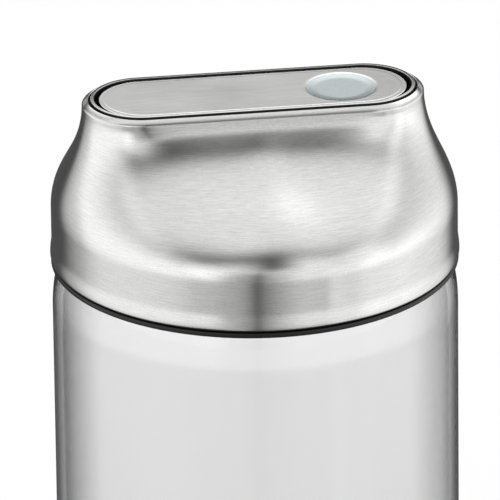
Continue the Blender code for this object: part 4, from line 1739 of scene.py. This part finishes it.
    def build_camera(self) -> None:
        """Places the camera as the photograph was taken."""
        data = bpy.data.cameras.new("camera")
        data.sensor_width = self.sensor_mm
        data.lens = self.lens_mm
        data.clip_start = 0.1
        data.clip_end = 50.0
        camera = bpy.data.objects.new("camera", data)
        bpy.context.scene.collection.objects.link(camera)
        bpy.context.scene.camera = camera
        target = Vector((0.0, 0.0, self.plan.seat_z))
        right = Vector((math.cos(self.camera_yaw), math.sin(self.camera_yaw), 0.0))
        level = Vector((math.sin(self.camera_yaw), -math.cos(self.camera_yaw), 0.0))
        back = level * math.cos(self.camera_rise) + Vector((0.0, 0.0, math.sin(self.camera_rise)))
        up = back.cross(right)
        tilted_right = right * math.cos(self.camera_roll) - up * math.sin(self.camera_roll)
        tilted_up = right * math.sin(self.camera_roll) + up * math.cos(self.camera_roll)
        place = target + back * self.camera_distance
        focal = self.lens_mm / self.sensor_mm * self.picture_px
        middle = self.picture_px / 2
        aside = (self.aim_px[0] - middle) / focal
        down = (self.aim_px[1] - middle) / focal
        away = (back + tilted_right * aside - tilted_up * down).normalized()
        level_right = tilted_up.cross(away).normalized()
        turn = Matrix((level_right, away.cross(level_right), away)).transposed()
        camera.rotation_mode = "QUATERNION"
        camera.rotation_quaternion = turn.to_quaternion()
        camera.location = place

    def build(self) -> None:
        """Sets the scene up."""
        self.build_camera()
        self.build_floor()
        self.build_world()
        self.build_lamps()
        bpy.context.scene.view_settings.view_transform = "Standard"


@dataclass(frozen=True)
class SoftPanel:
    """A large soft light, or a dark card, as the object sees it.

    Heading runs to the right from the camera and rise upwards from the level, in degrees. The half
    sizes and the soft edge are slopes: how far the panel reaches to a side for each unit of distance.
    """

    name: str
    heading: float
    rise: float
    half_width: float
    half_height: float
    edge: float
    level: float

    def axes(self) -> tuple[Vector, Vector, Vector]:
        """Finds the panel's own directions.

        Returns:
            The directions towards it, to its right and upwards on it.
        """
        heading = math.radians(self.heading)
        rise = math.radians(self.rise)
        ahead = Vector((math.sin(heading), -math.cos(heading), 0.0))
        right = Vector((math.cos(heading), math.sin(heading), 0.0))
        towards = ahead * math.cos(rise) + Vector((0.0, 0.0, math.sin(rise)))
        upwards = Vector((0.0, 0.0, math.cos(rise))) - ahead * math.sin(rise)
        return towards, right, upwards


# Level of the room between its panels, and the least cosine at which a panel is looked at
ROOM_LEVEL = 0.09
LEAST_FACING = 0.02

PANELS = (
    SoftPanel("ceiling", 189.1, 84.4, 0.79, 0.31, 0.28, 1.25),
    SoftPanel("left_window", -77.0, 6.5, 1.40, 0.85, 0.80, 1.60),
    SoftPanel("right_window", 102.8, 1.2, 0.79, 1.36, 0.37, 0.91),
    SoftPanel("front_window", 21.2, 9.8, 1.03, 1.40, 0.80, 1.32),
    SoftPanel("right_strip", 90.6, -2.5, 0.61, 0.18, 0.80, 1.53),
    SoftPanel("back_window", 177.5, 46.7, 0.63, 0.34, 0.16, 2.64),
    SoftPanel("back_left_strip", -158.0, 9.0, 0.14, 0.06, 0.10, 0.80),
    SoftPanel("back_right_strip", 157.0, 9.0, 0.16, 0.06, 0.10, 0.90),
)

CARDS = (
    SoftPanel("card_over_camera", 10.8, 50.7, 0.19, 0.40, 0.20, 0.90),
    SoftPanel("stand", 1.3, -8.0, 0.18, 0.62, 0.36, 0.88),
    SoftPanel("low_card", 20.0, -39.6, 0.39, 0.35, 0.06, 0.42),
    SoftPanel("pole", 1.5, -20.0, 0.03, 0.90, 0.03, 0.50),
    SoftPanel("left_card", -120.0, -18.0, 0.22, 0.50, 0.20, 0.35),
    SoftPanel("table", 0.0, -90.0, 1.10, 1.10, 0.40, 0.60),
)

# Name, place in metres, size in metres and power in watts
LAMPS = (
    ("key_lamp", (-1.1, -1.2, 1.6), 1.0, 12.0),
    ("fill_lamp", (1.3, -0.7, 1.3), 1.2, 8.0),
)


def main() -> None:
    """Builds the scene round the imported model."""
    logging.basicConfig(level=logging.INFO, format="%(name)s: %(message)s")
    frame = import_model()
    plan = Plan.from_nodes()
    Studio(plan).build()
    finishes = {
        Slot.GLASS: FlintGlass("flint_glass").build(),
        Slot.BRUSHED: BrushedStainless("brushed_stainless").build(),
        Slot.BRIGHT: BrightStainless("bright_stainless").build(),
        Slot.BLACK: MouldedPolypropylene("moulded_polypropylene").build(),
        Slot.SILICONE: MilkySilicone("milky_silicone").build(),
    }
    drawn = BrightStainless("drawn_stainless", "#9A9A99", 0.24).build()
    jar = GlassJar(plan)
    jar.build(finishes[Slot.GLASS])
    SteelCover(plan).build(finishes[Slot.BRUSHED])
    pour_frame = PourFrame(plan)
    pour_frame.build(frame, finishes[Slot.BLACK])
    LidCore(plan).build(finishes[Slot.BLACK], jar, pour_frame)
    JarSeal().build(finishes[Slot.SILICONE])
    TrimRing(plan).build(drawn, finishes[Slot.BLACK])
    Flap(plan).build(frame, finishes)
    Fasteners().build(frame, finishes)


if __name__ == "__main__":
    main()
